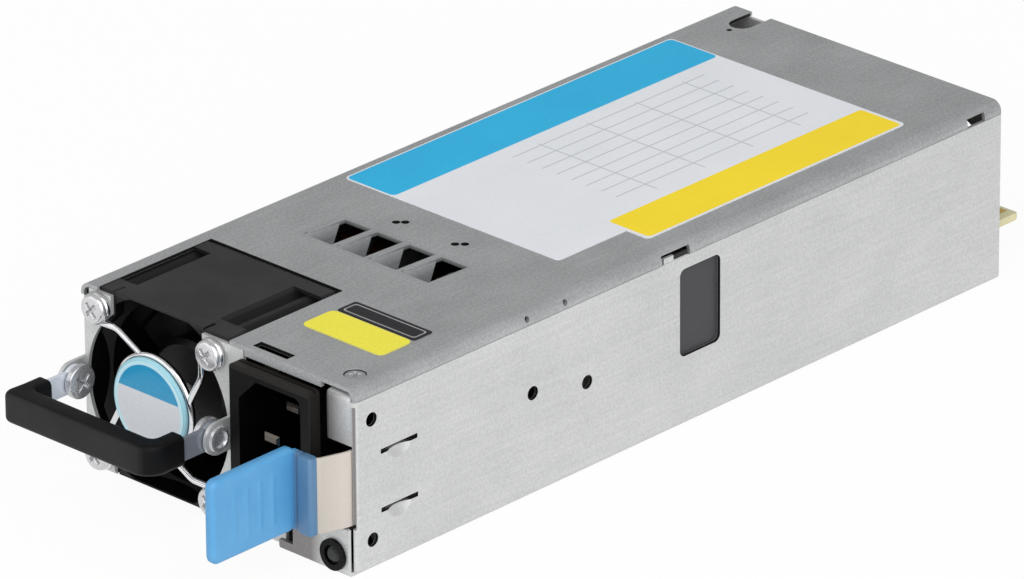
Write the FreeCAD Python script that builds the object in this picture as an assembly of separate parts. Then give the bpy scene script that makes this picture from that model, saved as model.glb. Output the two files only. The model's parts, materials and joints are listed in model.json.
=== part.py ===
"""Hot swap server power supply.

A steel case 73.5 mm wide, 185 mm long and 39 mm high, with a 40 mm fan, an upright power inlet,
a spring latch with a plastic tab and a folding handle at its front, and a card edge at its rear.
Millimetres. X is across, Y runs from front to rear and Z is up. The origin is the middle of the underside.
"""
import FreeCAD
import Part
import math
import os

os.makedirs("parts", exist_ok=True)
V = FreeCAD.Vector

# ---- case ----
HALF_W = 36.75
HALF_L = 92.5
HEIGHT = 39.0
SHEET = 0.8
BEND = 1.2
FRONT = -HALF_L
INNER_W = HALF_W - SHEET
SEAM_Z = 36.3
SEAM_GAP = 0.1
COVER_EDGE_R = 2.2
COVER_SCREW = (31.6, -87.0)
SIDE_HOLE_R = 1.45
SIDE_HOLES = ((-88.0, 31.5), (-88.0, 6.3), (-43.8, 21.7), (-28.6, 18.8))
SLIT_Y = (-85.6, -75.6)
SLIT_Z = (11.1, 23.4)
SLIT_H = 1.0
DENT_BALL_R = 6.6
DENT_DEPTH = 1.0
DENT_RISE = 1.3
DENT_WALL = 0.6
WINDOW_Y = (-2.2, 9.4)
WINDOW_Z = (14.8, 33.5)
COVER_HOLES = ((-11.2, -31.7), (-9.9, -30.5), (4.4, -31.4), (5.8, -30.1))
EDGE_NOTCHES = ((-7.3, 0.7), (82.4, 87.6))
VENT_PITCH = 8.7
VENT_FIRST_X = -20.0
VENT_SIZE = (7.0, 10.4)
VENT_FRONT = -47.9
LAMP = (32.2, 3.9)
LENS_R = 2.0

# ---- fan ----
FAN_X = -16.2
FAN_Z = 19.5
FAN_HALF_W = 19.7
FAN_HALF_H = 19.4
FAN_FRONT = -91.7
FAN_FACE = -88.8
FAN_REAR = -62.8
FLANGE_T = 3.6
BORE_R = 18.6
HUB_R = 10.2
BLADE_TIP_R = 18.15
BLADES = 7
ROTOR_FRONT = -84.4
ROTOR_REAR = -66.6
SHAFT_R = 1.5
SCREW_PITCH = 31.0
SCREW_R = 1.45

# ---- finger guard ----
WIRE_R = 0.7
RING_WIRE_R = 0.75
RING_R = 10.0
LOOP_R = 2.3
HEAD_R = 3.2
HEAD_T = 1.8

# ---- handle ----
PIVOT_Y = -96.3
PIVOT_Z = 19.8
GRIP_X = (-36.5, 3.6)
GRIP_Y = (-114.5, -109.5)
GRIP_Z = (16.7, 23.2)
GRIP_CORNER_R = (1.6, 5.0)
LEG_REAR = -105.0
LEG_W = 4.0
ARM_T = 1.0
ARM_HALF_H = 2.3
EYE_R = 3.1
EAR_R = 3.4
EAR_GAP = 0.3
PIN_R = 1.5
PIN_CLEARANCE = 0.06
PIVOT_HEAD_R = 3.5
RIGHT_EAR_X = 3.15

# ---- inlet ----
INLET_X = 16.9
INLET_Z = 22.0
INLET_FRONT = -95.3
BEZEL_HALF = (10.7, 14.3)
BODY_HALF = (9.5, 13.1)
BODY_REAR = -76.0
CAVITY_HALF = (8.2, 12.2)
CAVITY_DEPTH = 16.0
CHAMFER = 4.6
PIN_PITCH = 7.0
PIN_OFFSET = 2.0
BLADE_TIP = -91.2
EARTH_TIP = -93.2

# ---- latch ----
STRIP_T = 0.6
STRIP_Z = (10.4, 26.2)
STRIP_X = 35.5
LATCH_ROOT_Y = -70.0
TAB_X = (25.5, 28.0)
TAB_Y = (-121.8, -99.4)
TAB_Z = (9.6, 27.1)
TAB_EDGE = 0.6
TAB_RIBS = (-116.6, -113.2, -109.8, -106.4)
FOOT_X = (29.6, 33.4)
FOOT_Y = (-101.3, -98.9)
TAB_R = 2.4

# ---- boards ----
BOARD_Z = 4.2
BOARD_T = 1.6
BOARD_TOP = BOARD_Z + BOARD_T
BOARD_Y = (-58.0, 88.0)
CARD_Z = 8.4
CARD_Y = (74.0, 103.5)
CARD_HALF_W = 32.5

# ---- components ----
WIRE_LAYER = 1.2
BUNDLE_W = 3.4
FILM_T = 0.12


# ======== helpers ========

def box(x_range, y_range, z_range):
    """Box between two limits on each axis."""
    return Part.makeBox(x_range[1] - x_range[0], y_range[1] - y_range[0], z_range[1] - z_range[0],
                        V(x_range[0], y_range[0], z_range[0]))


def rod(start, end, radius):
    """Round bar from one point to another."""
    line = end.sub(start)
    return Part.makeCylinder(radius, line.Length, start, line)


def rod_y(x, z, radius, front, rear):
    """Round bar that runs front to rear."""
    return rod(V(x, front, z), V(x, rear, z), radius)


def rod_x(y, z, radius, left, right):
    """Round bar that runs across."""
    return rod(V(left, y, z), V(right, y, z), radius)


def rod_z(x, y, radius, low, high):
    """Upright round bar."""
    return rod(V(x, y, low), V(x, y, high), radius)


def prism(points, sweep):
    """Closed outline swept along a vector."""
    outline = Part.makePolygon(points + [points[0]])
    return Part.Face(outline).extrude(sweep)


def fuse(solids):
    """One solid from several that touch."""
    return solids[0].multiFuse(solids[1:]).removeSplitter()


def cut(solid, tools):
    """A solid less every tool."""
    return solid.cut(Part.makeCompound(tools))


def rounded(solid, radius, along, where=None):
    """Fillet a solid's straight edges that lie along an axis and pass a test on their middle point."""
    edges = []
    for edge in solid.Edges:
        start, end = edge.Vertexes[0].Point, edge.Vertexes[-1].Point
        run = end.sub(start)
        if run.Length < 1e-6 or abs(run.Length - edge.Length) > 1e-6:
            continue
        if abs(abs(run.dot(along)) - run.Length) > 1e-6:
            continue
        if where is None or where(start.add(end).multiply(0.5)):
            edges.append(edge)
    return solid.makeFillet(radius, edges)


def turned_y(outline, x, y, z):
    """Solid of revolution about a front-to-rear axis, from (radius, offset) points."""
    face = Part.Face(Part.makePolygon([V(r, along, 0) for r, along in outline + outline[:1]]))
    solid = face.revolve(V(0, 0, 0), V(0, 1, 0), 360)
    solid.translate(V(x, y, z))
    return solid


def turned_z(outline, x, y, z):
    """Solid of revolution about an upright axis, from (radius, height) points."""
    face = Part.Face(Part.makePolygon([V(r, 0, up) for r, up in outline + outline[:1]]))
    solid = face.revolve(V(0, 0, 0), V(0, 0, 1), 360)
    solid.translate(V(x, y, z))
    return solid


def save(name, shape):
    """Write one node."""
    shape.exportStep("parts/" + name + ".step")


X, Y, Z = V(1, 0, 0), V(0, 1, 0), V(0, 0, 1)
SCREW_X = (FAN_X - SCREW_PITCH / 2, FAN_X + SCREW_PITCH / 2)
SCREW_Z = (FAN_Z - SCREW_PITCH / 2, FAN_Z + SCREW_PITCH / 2)
SCREW_PLACES = [(x, z) for x in SCREW_X for z in SCREW_Z]


# ======== case ========

def case_envelope():
    """Outer form of the tray, with rounded bends along its bottom and its front corners."""
    solid = box((-HALF_W, HALF_W), (FRONT, HALF_L), (0, SEAM_Z + 2))
    solid = rounded(solid, BEND, Y, lambda p: p.z < 1)
    return rounded(solid, BEND - 0.01, Z, lambda p: p.y < 0)


def lance(z):
    """Half-moon dent under a slit of the right wall: its hollow, and the bulge it makes inside."""
    middle = sum(SLIT_Y) / 2
    ball = V(HALF_W + DENT_BALL_R - DENT_DEPTH, middle, z + DENT_RISE)
    below = box((30, HALF_W + 1), (middle - 8, middle + 8), (z - 8, z))
    hollow = Part.makeSphere(DENT_BALL_R, ball).common(below)
    bulge = Part.makeSphere(DENT_BALL_R + DENT_WALL, ball).common(below)
    return hollow, bulge.common(box((30, INNER_W + 0.4), (-90, -70), (0, 40)))


def side_openings():
    """Holes, slits and window of the right wall, as cutting tools."""
    wall = (INNER_W - 0.2, HALF_W + 0.2)
    tools = [rod_x(y, z, SIDE_HOLE_R, *wall) for y, z in SIDE_HOLES]
    tools += [box(wall, SLIT_Y, (z, z + SLIT_H)) for z in SLIT_Z]
    window = box(wall, WINDOW_Y, WINDOW_Z)
    tools.append(rounded(window, 1.5, X))
    return tools


def front_flanges():
    """Flanges folded in at the front: round the fan, under the inlet and beside the latch."""
    plate = (FRONT, FRONT + SHEET)
    left = box((-HALF_W, -28.6), plate, (0, 38.15))
    middle = fuse([box((-3.8, 7.3), plate, (0, 38.15)), box((3.0, 18.0), plate, (0, 8.8))])
    fan_hole = rod_y(FAN_X, FAN_Z, 19.2, FRONT - 1, FRONT + 2)
    screw_holes = [rod_y(x, z, SCREW_R + 0.25, FRONT - 1, FRONT + 2) for x, z in SCREW_PLACES]
    pillar = box((28.6, HALF_W), (FRONT, FRONT + 4.0), (27.0, 37.2))
    pillar = rounded(pillar, 1.4, Z, lambda p: p.x < 30 and p.y < FRONT + 1)
    pillar = rounded(pillar, 1.4, X, lambda p: p.z > 37 and p.y < FRONT + 1)
    pillar = pillar.cut(box((28.6 + SHEET, HALF_W), (FRONT + SHEET, FRONT + 5), (26, 37.2 - SHEET)))
    shelf = box((28.6, INNER_W), (FRONT + 3.9, -79.5), (37.2 - SHEET, 37.2))
    shelf = shelf.cut(rod_z(*COVER_SCREW, 1.3, 36, 38))
    return [left.cut(fan_hole).cut(screw_holes), middle.cut(fan_hole).cut(screw_holes), fuse([pillar, shelf])]


def lamp_lip():
    """Lip at the bottom right, stepped forward of the front, with the hole for the status lamp."""
    front, rear = FRONT - 1.4, FRONT + SHEET
    low = box((17.5, INNER_W), (front, rear), (0, 7.5))
    lip = low.fuse(box((28.1, INNER_W), (front, rear), (7.0, 10.0)))
    lip = rounded(lip, 1.0, X, lambda p: p.z < 1 and p.y < FRONT - 1)
    hollow = box((17.0, INNER_W + 1), (front + SHEET, rear + 1), (SHEET, 12))
    notch = box((17.0, 21.2), (front - 1, rear + 1), (2.2, 9))
    return cut(lip, [hollow, notch, rod_y(*LAMP, 2.75, FRONT - 3, FRONT)])


def ears():
    """Two ears that stand forward of the front and carry the handle's pivot screws."""
    pair = []
    for left, root in ((-HALF_W, (-HALF_W, -INNER_W)), (RIGHT_EAR_X, (RIGHT_EAR_X, RIGHT_EAR_X + SHEET))):
        plate = box(root, (PIVOT_Y, FRONT + SHEET), (PIVOT_Z - EAR_R, PIVOT_Z + EAR_R))
        end = rod_x(PIVOT_Y, PIVOT_Z, EAR_R, root[0], root[1])
        hole = rod_x(PIVOT_Y, PIVOT_Z, PIN_R, left - 1, left + 2)
        pair.append(fuse([plate, end]).cut(hole))
    return pair


def chassis():
    """Folded steel tray: floor, side walls, front flanges, lamp lip and handle ears."""
    envelope = case_envelope()
    hollow = box((-INNER_W, INNER_W), (FRONT - 1, HALF_L + 1), (SHEET, 50))
    above = box((-HALF_W - 1, HALF_W + 1), (FRONT - 1, HALF_L + 1), (SEAM_Z - SEAM_GAP, 50))
    fan_well = box((-INNER_W, FAN_X + FAN_HALF_W + 0.2), (FRONT - 1, FAN_REAR + 0.6), (-1, SHEET + 1))
    tray = envelope.cut(hollow).cut(above).cut(fan_well)
    under_cover = fuse([box((-HALF_W, HALF_W), (FRONT - 1, 0), (0, SEAM_Z - SEAM_GAP)),
                        box((-INNER_W + 1.4, INNER_W - 0.4), (FRONT - 1, 0), (0, 38.15))])
    flanges = [piece.common(envelope).common(under_cover) for piece in front_flanges()]
    tray = fuse([tray] + flanges)
    hollows, bulges = zip(*[lance(z) for z in SLIT_Z])
    hook = box((INNER_W, HALF_W - 0.15), (-6.6, 0.0), (SEAM_Z - 1, SEAM_Z + 1.1))
    tray = cut(fuse([tray, hook, lamp_lip()] + ears() + list(bulges)), side_openings() + list(hollows))
    corner_dots = [rod_y(35.9, z, 0.55, FRONT - 1, FRONT + 3) for z in (36.9, 10.4)]
    return cut(tray, corner_dots)


def cover_dimple():
    """Dimpled seat of the countersunk screw, as a ring let into the cover."""
    outline = [(2.3, 39), (2.9, 39), (2.9, 38.2), (2.8, 38.2), (1.8, 37.3), (1.35, 37.3), (1.35, 37.7)]
    return turned_z(outline, *COVER_SCREW, 0)


def cover_vents():
    """Four lanced vents: rectangular openings, each half closed by a three-cornered flap bent down."""
    holes = []
    flaps = []
    for index in range(4):
        left = VENT_FIRST_X + index * VENT_PITCH
        right = left + VENT_SIZE[0]
        rear = VENT_FRONT + VENT_SIZE[1]
        holes.append(prism([V(left, VENT_FRONT, 37), V(right, VENT_FRONT, 37), V(right + 0.6, rear, 37),
                            V(left + 0.6, rear, 37)], V(0, 0, 3)))
        holes.append(rod_z(left + 0.2, VENT_FRONT + 0.6, 0.8, 37, 40))
        flap = prism([V(left - 0.4, VENT_FRONT - 0.2, 38.2), V(right - 0.2, VENT_FRONT + 0.3, 38.2),
                      V(left + 0.7, rear - 1.6, 38.2)], V(0, 0, SHEET))
        flap.rotate(V(left - 0.4, VENT_FRONT, 39), V(0, 1, 0), 13)
        flaps.append(flap)
    return holes, flaps


def top_cover():
    """Shallow channel that closes the tray, cut out over the fan."""
    outer = box((-HALF_W, HALF_W), (FRONT, HALF_L), (SEAM_Z, HEIGHT))
    outer = rounded(outer, COVER_EDGE_R, Y, lambda p: p.z > 38)
    inner = box((-INNER_W, INNER_W), (FRONT - 1, HALF_L + 1), (SEAM_Z - 1, HEIGHT - SHEET))
    inner = rounded(inner, COVER_EDGE_R - SHEET, Y, lambda p: p.z > 37)
    lip = box((7.6, 28.0), (FRONT, FRONT + SHEET), (37.0, HEIGHT - 0.3))
    reach = INNER_W - 0.03
    tabs = [box(sorted((side * reach, side * (reach - 0.4))), (y, y + 9), (33.0, 37.5))
            for side in (-1, 1) for y in (-40, 20, 66)]
    cover = fuse([outer.cut(inner), lip] + tabs)
    holes, flaps = cover_vents()
    fan_cut = box((-32.2, FAN_X + FAN_HALF_W + 0.15), (FRONT - 1, -61.6), (36, 40))
    tools = [fan_cut, box((8.4, 17.6), (-91.1, -88.7), (37, 40))] + holes
    tools += [rod_z(x, y, 0.85, 37, 40) for x, y in COVER_HOLES]
    notch = fuse([box((-30.5, -25.3), (86.5, HALF_L + 1), (37, 40)), rod_z(-27.9, 86.5, 2.6, 37, 40)])
    tools += [notch, rod_z(-27.6, 82.4, 0.6, 37, 40)]
    tools += [box((INNER_W - 1, HALF_W + 1), span, (SEAM_Z - 1, 38.1)) for span in EDGE_NOTCHES]
    tools += [rod_x(y, 37.6, 0.6, INNER_W - 0.5, HALF_W + 1) for y in (-45.1, -34.5)]
    tools.append(rod_z(*COVER_SCREW, 2.9, 36, 40))
    return fuse([cut(cover, tools), cover_dimple()] + flaps)


def rear_panel():
    """Rear wall with side flanges, hexagonal vents and the slot of the card edge."""
    width = INNER_W - 0.05
    plate = box((-width, width), (HALF_L - SHEET, HALF_L), (SHEET + 0.05, 37.9))
    plate = rounded(plate, 2.0, Y, lambda p: p.z > 30)
    sides = [box((x, x + SHEET), (HALF_L - 9, HALF_L), (3.0, 34.0)) for x in (-width, width - SHEET)]
    tools = [box((-CARD_HALF_W - 0.6, CARD_HALF_W + 0.6), (80, 100), (CARD_Z - 0.8, CARD_Z + BOARD_T + 0.8))]
    pitch = 7.0
    reach = 3.1
    corners = [(reach * math.sin(math.pi / 3 * k), reach * math.cos(math.pi / 3 * k)) for k in range(6)]
    for row in range(3):
        odd = row % 2
        z = 17.6 + row * pitch * math.cos(math.pi / 6)
        for column in range(-4, 5 - odd):
            x = (column + odd / 2) * pitch
            tools.append(prism([V(x + dx, 80, z + dz) for dx, dz in corners], V(0, 20, 0)))
    return cut(fuse([plate] + sides), tools)


def cover_screw():
    """Countersunk screw that holds the cover to the shelf behind the front pillar."""
    x, y = COVER_SCREW
    head = Part.makeCone(1.33, 2.15, 1.1, V(x, y, 37.75), Z)
    screw = fuse([head, rod_z(x, y, 1.25, 33.0, 37.8)])
    return cut(screw, cross_recess(V(x, y, 38.85), Z, 1.3))


def cross_recess(centre, outward, size):
    """Cross-shaped recess of a screw head, as two bars cut into its face."""
    bars = []
    for turn in (45, 135):
        bar = box((-size, size), (-0.3, 0.3), (-0.7, 0.5))
        bar.rotate(V(0, 0, 0), Z, turn)
        bar.Placement = FreeCAD.Placement(centre, FreeCAD.Rotation(Z, outward)).multiply(bar.Placement)
        bars.append(bar)
    return bars


# ======== fan ========

def fan_frame():
    """Square fan housing: two flanges, a chamfered barrel, corner bosses, rear struts and the motor base."""
    def square(front, rear, chamfer):
        """Square section swept front to rear, with its corners cut off."""
        w, h, c = FAN_HALF_W, FAN_HALF_H, chamfer
        corners = [(w - c, -h), (w, c - h), (w, h - c), (w - c, h)]
        corners += [(-x, -z) for x, z in corners]
        return prism([V(FAN_X + x, front, FAN_Z + z) for x, z in corners], V(0, rear - front, 0))
    barrel = square(FAN_FACE + 1, FAN_REAR - 1, 8.5)
    rear = square(FAN_REAR - FLANGE_T, FAN_REAR, 1.2)
    face = square(FAN_FACE, FAN_FACE + 2.2, 1.2)
    pads = []
    for x, z in SCREW_PLACES:
        side, up = math.copysign(1, x - FAN_X), math.copysign(1, z - FAN_Z)
        x_range = sorted((FAN_X + side * FAN_HALF_W, x - side * 3.6))
        z_range = sorted((FAN_Z + up * FAN_HALF_H, z - up * 3.6))
        pads.append(rounded(box(x_range, (FAN_FRONT, FAN_FACE + 1), z_range), 1.1, Y))
        pads.append(rod_y(x, z, 3.1, FAN_FACE, FAN_REAR))
    inside = [rod_y(FAN_X, FAN_Z, BORE_R, FAN_FRONT - 1, FAN_REAR + 1)]
    bellmouth = Part.makeCone(BORE_R + 2.6, BORE_R, 3.2, V(FAN_X, FAN_FACE - 0.6, FAN_Z), Y)
    inside.append(bellmouth)
    inside += [rod_y(x, z, SCREW_R, FAN_FRONT - 1, FAN_REAR + 1) for x, z in SCREW_PLACES]
    inside.append(box((-40, -32.0), (FAN_FRONT - 1, FAN_REAR + 1), (38.1, 40)))
    inside.append(box((-40, -34.9), (FAN_FRONT - 1, FAN_REAR + 1), (37.0, 40)))
    housing = cut(fuse([barrel, rear, face] + pads), inside)
    base = rod_y(FAN_X, FAN_Z, HUB_R, -66.0, FAN_REAR)
    tube = rod_y(FAN_X, FAN_Z, 3.4, -82.6, -65.0)
    struts = []
    for index in range(4):
        strut = box((HUB_R - 0.5, BORE_R + 0.4), (-66.0, FAN_REAR), (-0.7, 0.7))
        strut.rotate(V(0, 0, 0), Y, 30 + 90 * index)
        strut.translate(V(FAN_X, 0, FAN_Z))
        struts.append(strut)
    seat = rod_y(FAN_X, FAN_Z, 2.55, -90, -64.2)
    return fuse([housing, base, tube] + struts).cut(seat)


def blade(angle):
    """One twisted, cambered blade, lofted through sections at its root, middle and tip."""
    sections = []
    for radius, pitch, chord in ((9.6, 52, 13.5), (14.0, 38, 14.0), (19.0, 27, 14.5)):
        slope = math.radians(pitch)
        upper = []
        lower = []
        for step in range(5):
            t = step / 4.0
            camber = 1.3 * 4 * t * (1 - t)
            thick = 0.28 + 0.42 * math.sin(math.pi * t)
            along = (t - 0.5) * chord
            for side, row in ((thick, upper), (-thick, lower)):
                across = camber + side
                tangent = along * math.cos(slope) - across * math.sin(slope)
                axial = along * math.sin(slope) + across * math.cos(slope)
                row.append(V(tangent, axial, radius))
        sections.append(Part.makePolygon(upper + lower[::-1] + upper[:1]))
    shape = Part.makeLoft(sections, True, True)
    shape.rotate(V(0, 0, 0), Y, angle)
    shape.translate(V(FAN_X, (ROTOR_FRONT + ROTOR_REAR) / 2 + 0.2, FAN_Z))
    return shape


def fan_rotor():
    """Cup-shaped hub with seven blades and the boss that grips the shaft."""
    cup = rod_y(FAN_X, FAN_Z, HUB_R, ROTOR_FRONT, ROTOR_REAR)
    cup = cup.makeChamfer(1.0, [edge for edge in cup.Edges if edge.CenterOfMass.y < ROTOR_FRONT + 0.1])
    cup = cup.cut(rod_y(FAN_X, FAN_Z, HUB_R - 1.2, ROTOR_FRONT + 1.2, ROTOR_REAR + 1))
    limit = rod_y(FAN_X, FAN_Z, BLADE_TIP_R, ROTOR_FRONT + 0.4, ROTOR_REAR - 0.2)
    limit = limit.cut(rod_y(FAN_X, FAN_Z, HUB_R - 0.6, -90, -60))
    blades = [blade(360.0 / BLADES * index).common(limit) for index in range(BLADES)]
    return fuse([cup] + blades).cut(rod_y(FAN_X, FAN_Z, SHAFT_R, ROTOR_FRONT - 1, ROTOR_REAR))


def fan_shaft():
    """Steel shaft from the hub's face into the bearings."""
    return rod_y(FAN_X, FAN_Z, SHAFT_R, ROTOR_FRONT, -65.4)


def rotor_magnet():
    """Ring magnet lining the hub."""
    ring = rod_y(FAN_X, FAN_Z, HUB_R - 1.2, ROTOR_FRONT + 2.2, ROTOR_REAR - 0.2)
    return ring.cut(rod_y(FAN_X, FAN_Z, HUB_R - 2.6, -90, -60))


def fan_bearings():
    """Two ball bearings in the motor tube, as plain rings."""
    bore = rod_y(FAN_X, FAN_Z, SHAFT_R + 0.04, -90, -60)
    rings = [rod_y(FAN_X, FAN_Z, 2.55, front, front + 2.5) for front in (-82.4, -68.4)]
    return Part.makeCompound([ring.cut(bore) for ring in rings])


def fan_stator():
    """Laminated core on the motor tube, with four poles."""
    core = rod_y(FAN_X, FAN_Z, 4.4, -78.0, -71.0)
    poles = []
    for index in range(4):
        stem = box((3.6, 6.4), (-78.0, -71.0), (-0.9, 0.9))
        shoe = rod_y(0, 0, 7.2, -78.0, -71.0).common(box((6.0, 8.0), (-80, -70), (-3.6, 3.6)))
        pole = fuse([stem, shoe])
        pole.rotate(V(0, 0, 0), Y, 90 * index)
        pole.translate(V(FAN_X, 0, FAN_Z))
        poles.append(pole)
    return fuse([core] + poles).cut(rod_y(FAN_X, FAN_Z, 3.4, -90, -60))


def fan_coils():
    """Four copper coils round the stator's pole stems."""
    coils = []
    for index in range(4):
        coil = box((4.5, 5.9), (-79.4, -69.6), (-2.0, 2.0))
        coil = coil.cut(box((4, 7), (-78.0, -71.0), (-0.9, 0.9)))
        coil.rotate(V(0, 0, 0), Y, 90 * index)
        coil.translate(V(FAN_X, 0, FAN_Z))
        coils.append(coil)
    return Part.makeCompound(coils)


def fan_board():
    """Round drive board behind the stator."""
    board = rod_y(FAN_X, FAN_Z, 7.4, -68.4, -67.4)
    chip = box((FAN_X + 3.9, FAN_X + 6.3), (-69.1, -68.4), (FAN_Z - 1.2, FAN_Z + 1.2))
    return fuse([board, chip]).cut(rod_y(FAN_X, FAN_Z, 3.4, -90, -60))


def wire_section(point, heading, radius):
    """Six-sided cross-section of a wire that lies in the guard's plane."""
    side = heading.cross(Y).normalize()
    corners = []
    for index in range(6):
        turn = math.pi / 3 * (index + 0.5)
        across = V(side).multiply(radius * math.cos(turn))
        corners.append(point.add(across).add(V(0, radius * math.sin(turn), 0)))
    return Part.Face(Part.makePolygon(corners + corners[:1]))


def wire_run(start, end):
    """Straight length of wire."""
    run = end.sub(start)
    return wire_section(start, run, WIRE_R).extrude(run)


def wire_turn(start, heading, centre, turn):
    """Wire bent through an angle in the guard's plane; positive turns run clockwise from the front."""
    return wire_section(start, heading, WIRE_R).revolve(centre, V(0, math.copysign(1, turn), 0), abs(turn))


def guard_arm():
    """One wire arm: most of a turn round a screw, a straight run, an eased bend and a slope to the ring."""
    half = SCREW_PITCH / 2
    plane = FRONT - WIRE_R
    screw = V(FAN_X - half, plane, FAN_Z + half)
    loop_turn = 285.0
    bend_turn = 28.5
    bend_r = 4.0
    open_end = math.radians(270.0 - loop_turn)
    loop_start = screw.add(V(LOOP_R * math.cos(open_end), 0, LOOP_R * math.sin(open_end)))
    loop = wire_turn(loop_start, V(-math.sin(open_end), 0, math.cos(open_end)), screw, -loop_turn)
    run_start = screw.sub(V(0, 0, LOOP_R))
    run_end = run_start.add(V(4.6, 0, 0))
    bend_centre = run_end.sub(V(0, 0, bend_r))
    bend = wire_turn(run_end, X, bend_centre, bend_turn)
    slope = math.radians(bend_turn)
    bend_end = bend_centre.add(V(math.sin(slope), 0, math.cos(slope)).multiply(bend_r))
    foot = bend_end.add(V(math.cos(slope), 0, -math.sin(slope)).multiply(6.7))
    return fuse([loop, wire_run(run_start, run_end), bend, wire_run(bend_end, foot)])


def finger_guard():
    """Welded wire guard: a ring, and four arms that run off it at a tangent and loop round the screws."""
    centre = V(FAN_X, FRONT - WIRE_R, FAN_Z)
    ring_start = centre.add(V(RING_R, -0.1, 0))
    ring = wire_section(ring_start, Z, RING_WIRE_R).revolve(centre, Y, 360)
    arms = []
    for index in range(4):
        arm = guard_arm()
        arm.rotate(centre, Y, 90 * index)
        arms.append(arm)
    return ring.multiFuse(arms)


def guard_disc():
    """Round plate that carries the label, seated in the guard's ring."""
    outline = [(0, -2.4), (9.6, -2.4), (9.9, -2.1), (9.9, -1.6), (9.1, -1.6), (9.1, -0.7), (0, -0.7)]
    return turned_y(outline, FAN_X, FRONT, FAN_Z)


def disc_label():
    """Printed film on the disc."""
    return rod_y(FAN_X, FAN_Z, 9.3, FRONT - 2.52, FRONT - 2.4)


def fan_screws():
    """Four pan-head screws that clamp the guard's loops."""
    base = -2 * WIRE_R
    crown = base - HEAD_T
    shank = SCREW_R - 0.02
    outline = [(0, crown), (HEAD_R - 1.1, crown), (HEAD_R, crown + 1.0), (HEAD_R, base), (shank, base),
               (shank, 12.5), (0, 12.5)]
    screws = []
    for x, z in SCREW_PLACES:
        screw = turned_y(outline, x, FRONT, z)
        screws.append(cut(screw, cross_recess(V(x, FRONT + crown, z), V(0, -1, 0), 1.9)))
    return Part.makeCompound(screws)


def fan_lead():
    """Four-wire lead from the fan to its plug on the main board."""
    low = BOARD_TOP + 2.0
    wires = [rod_y(-34.4 + 1.2 * index, low, 0.5, FAN_REAR, -55.0) for index in range(4)]
    plug = box((-35.0, -30.0), (-55.4, -51.0), (BOARD_TOP, BOARD_TOP + 4.4))
    return fuse([plug] + wires)


# ======== handle ========

def arm_slot(left):
    """Flat bar of one handle arm, from its eye into the grip."""
    bar = box((left, left + ARM_T), (-110.0, PIVOT_Y), (PIVOT_Z - ARM_HALF_H, PIVOT_Z + ARM_HALF_H))
    eye = rod_x(PIVOT_Y, PIVOT_Z, EYE_R, left, left + ARM_T)
    return fuse([bar, eye])


ARM_LEFTS = (-INNER_W + EAR_GAP, RIGHT_EAR_X - EAR_GAP - ARM_T)


def handle_arms():
    """Two flat steel arms with round eyes."""
    hole = rod_x(PIVOT_Y, PIVOT_Z, PIN_R + PIN_CLEARANCE, -50, 20)
    return Part.makeCompound([arm_slot(left).cut(hole) for left in ARM_LEFTS])


def handle_grip():
    """Moulded U-shaped grip on the arms' ends, with one tight and one easy corner."""
    solid = box(GRIP_X, (GRIP_Y[0], LEG_REAR), GRIP_Z)
    middle = sum(GRIP_X) / 2
    solid = rounded(solid, GRIP_CORNER_R[0], Z, lambda p: p.y < GRIP_Y[1] and p.x < middle)
    solid = rounded(solid, GRIP_CORNER_R[1], Z, lambda p: p.y < GRIP_Y[1] and p.x > middle)
    gap = box((GRIP_X[0] + LEG_W, GRIP_X[1] - LEG_W), (GRIP_Y[1], LEG_REAR + 1), (0, 40))
    gap = rounded(gap, 1.5, Z, lambda p: p.y < LEG_REAR)
    rim = [e for e in solid.Edges if e.BoundBox.ZLength < 1e-6 and e.BoundBox.YMax < LEG_REAR + 0.1
           and e.CenterOfMass.y < LEG_REAR - 0.2]
    solid = solid.makeChamfer(0.6, rim).cut(gap)
    return cut(solid, [arm_slot(left) for left in ARM_LEFTS])


def pivot_screws():
    """Two shoulder screws in the ears: heads inside, peened ends outside."""
    left_head = ARM_LEFTS[0] + ARM_T + EAR_GAP
    right_head = ARM_LEFTS[1] - EAR_GAP
    ear_face = RIGHT_EAR_X + SHEET
    left = fuse([rod_x(PIVOT_Y, PIVOT_Z, PIN_R, -HALF_W, left_head + 0.2),
                 rod_x(PIVOT_Y, PIVOT_Z, PIVOT_HEAD_R, left_head, left_head + 1.4)])
    left = cut(left, cross_recess(V(left_head + 1.4, PIVOT_Y, PIVOT_Z), X, 2.1))
    right = fuse([rod_x(PIVOT_Y, PIVOT_Z, PIN_R, right_head - 0.2, ear_face + 0.4),
                  rod_x(PIVOT_Y, PIVOT_Z, PIVOT_HEAD_R, right_head - 1.4, right_head),
                  rod_x(PIVOT_Y, PIVOT_Z, 2.5, ear_face, ear_face + 0.9)])
    right = right.cut(rod_x(PIVOT_Y, PIVOT_Z, 1.2, ear_face + 0.4, ear_face + 3))
    return Part.makeCompound([left, right])


# ======== power inlet ========

def inlet_outline(half, chamfer, y):
    """Upright rectangle round the inlet's centre with its two left corners cut off."""
    w, h = half
    corners = [(w, -h), (w, h), (chamfer - w, h), (-w, h - chamfer), (-w, chamfer - h), (chamfer - w, -h)]
    return [V(INLET_X + x, y, INLET_Z + z) for x, z in corners]


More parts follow.
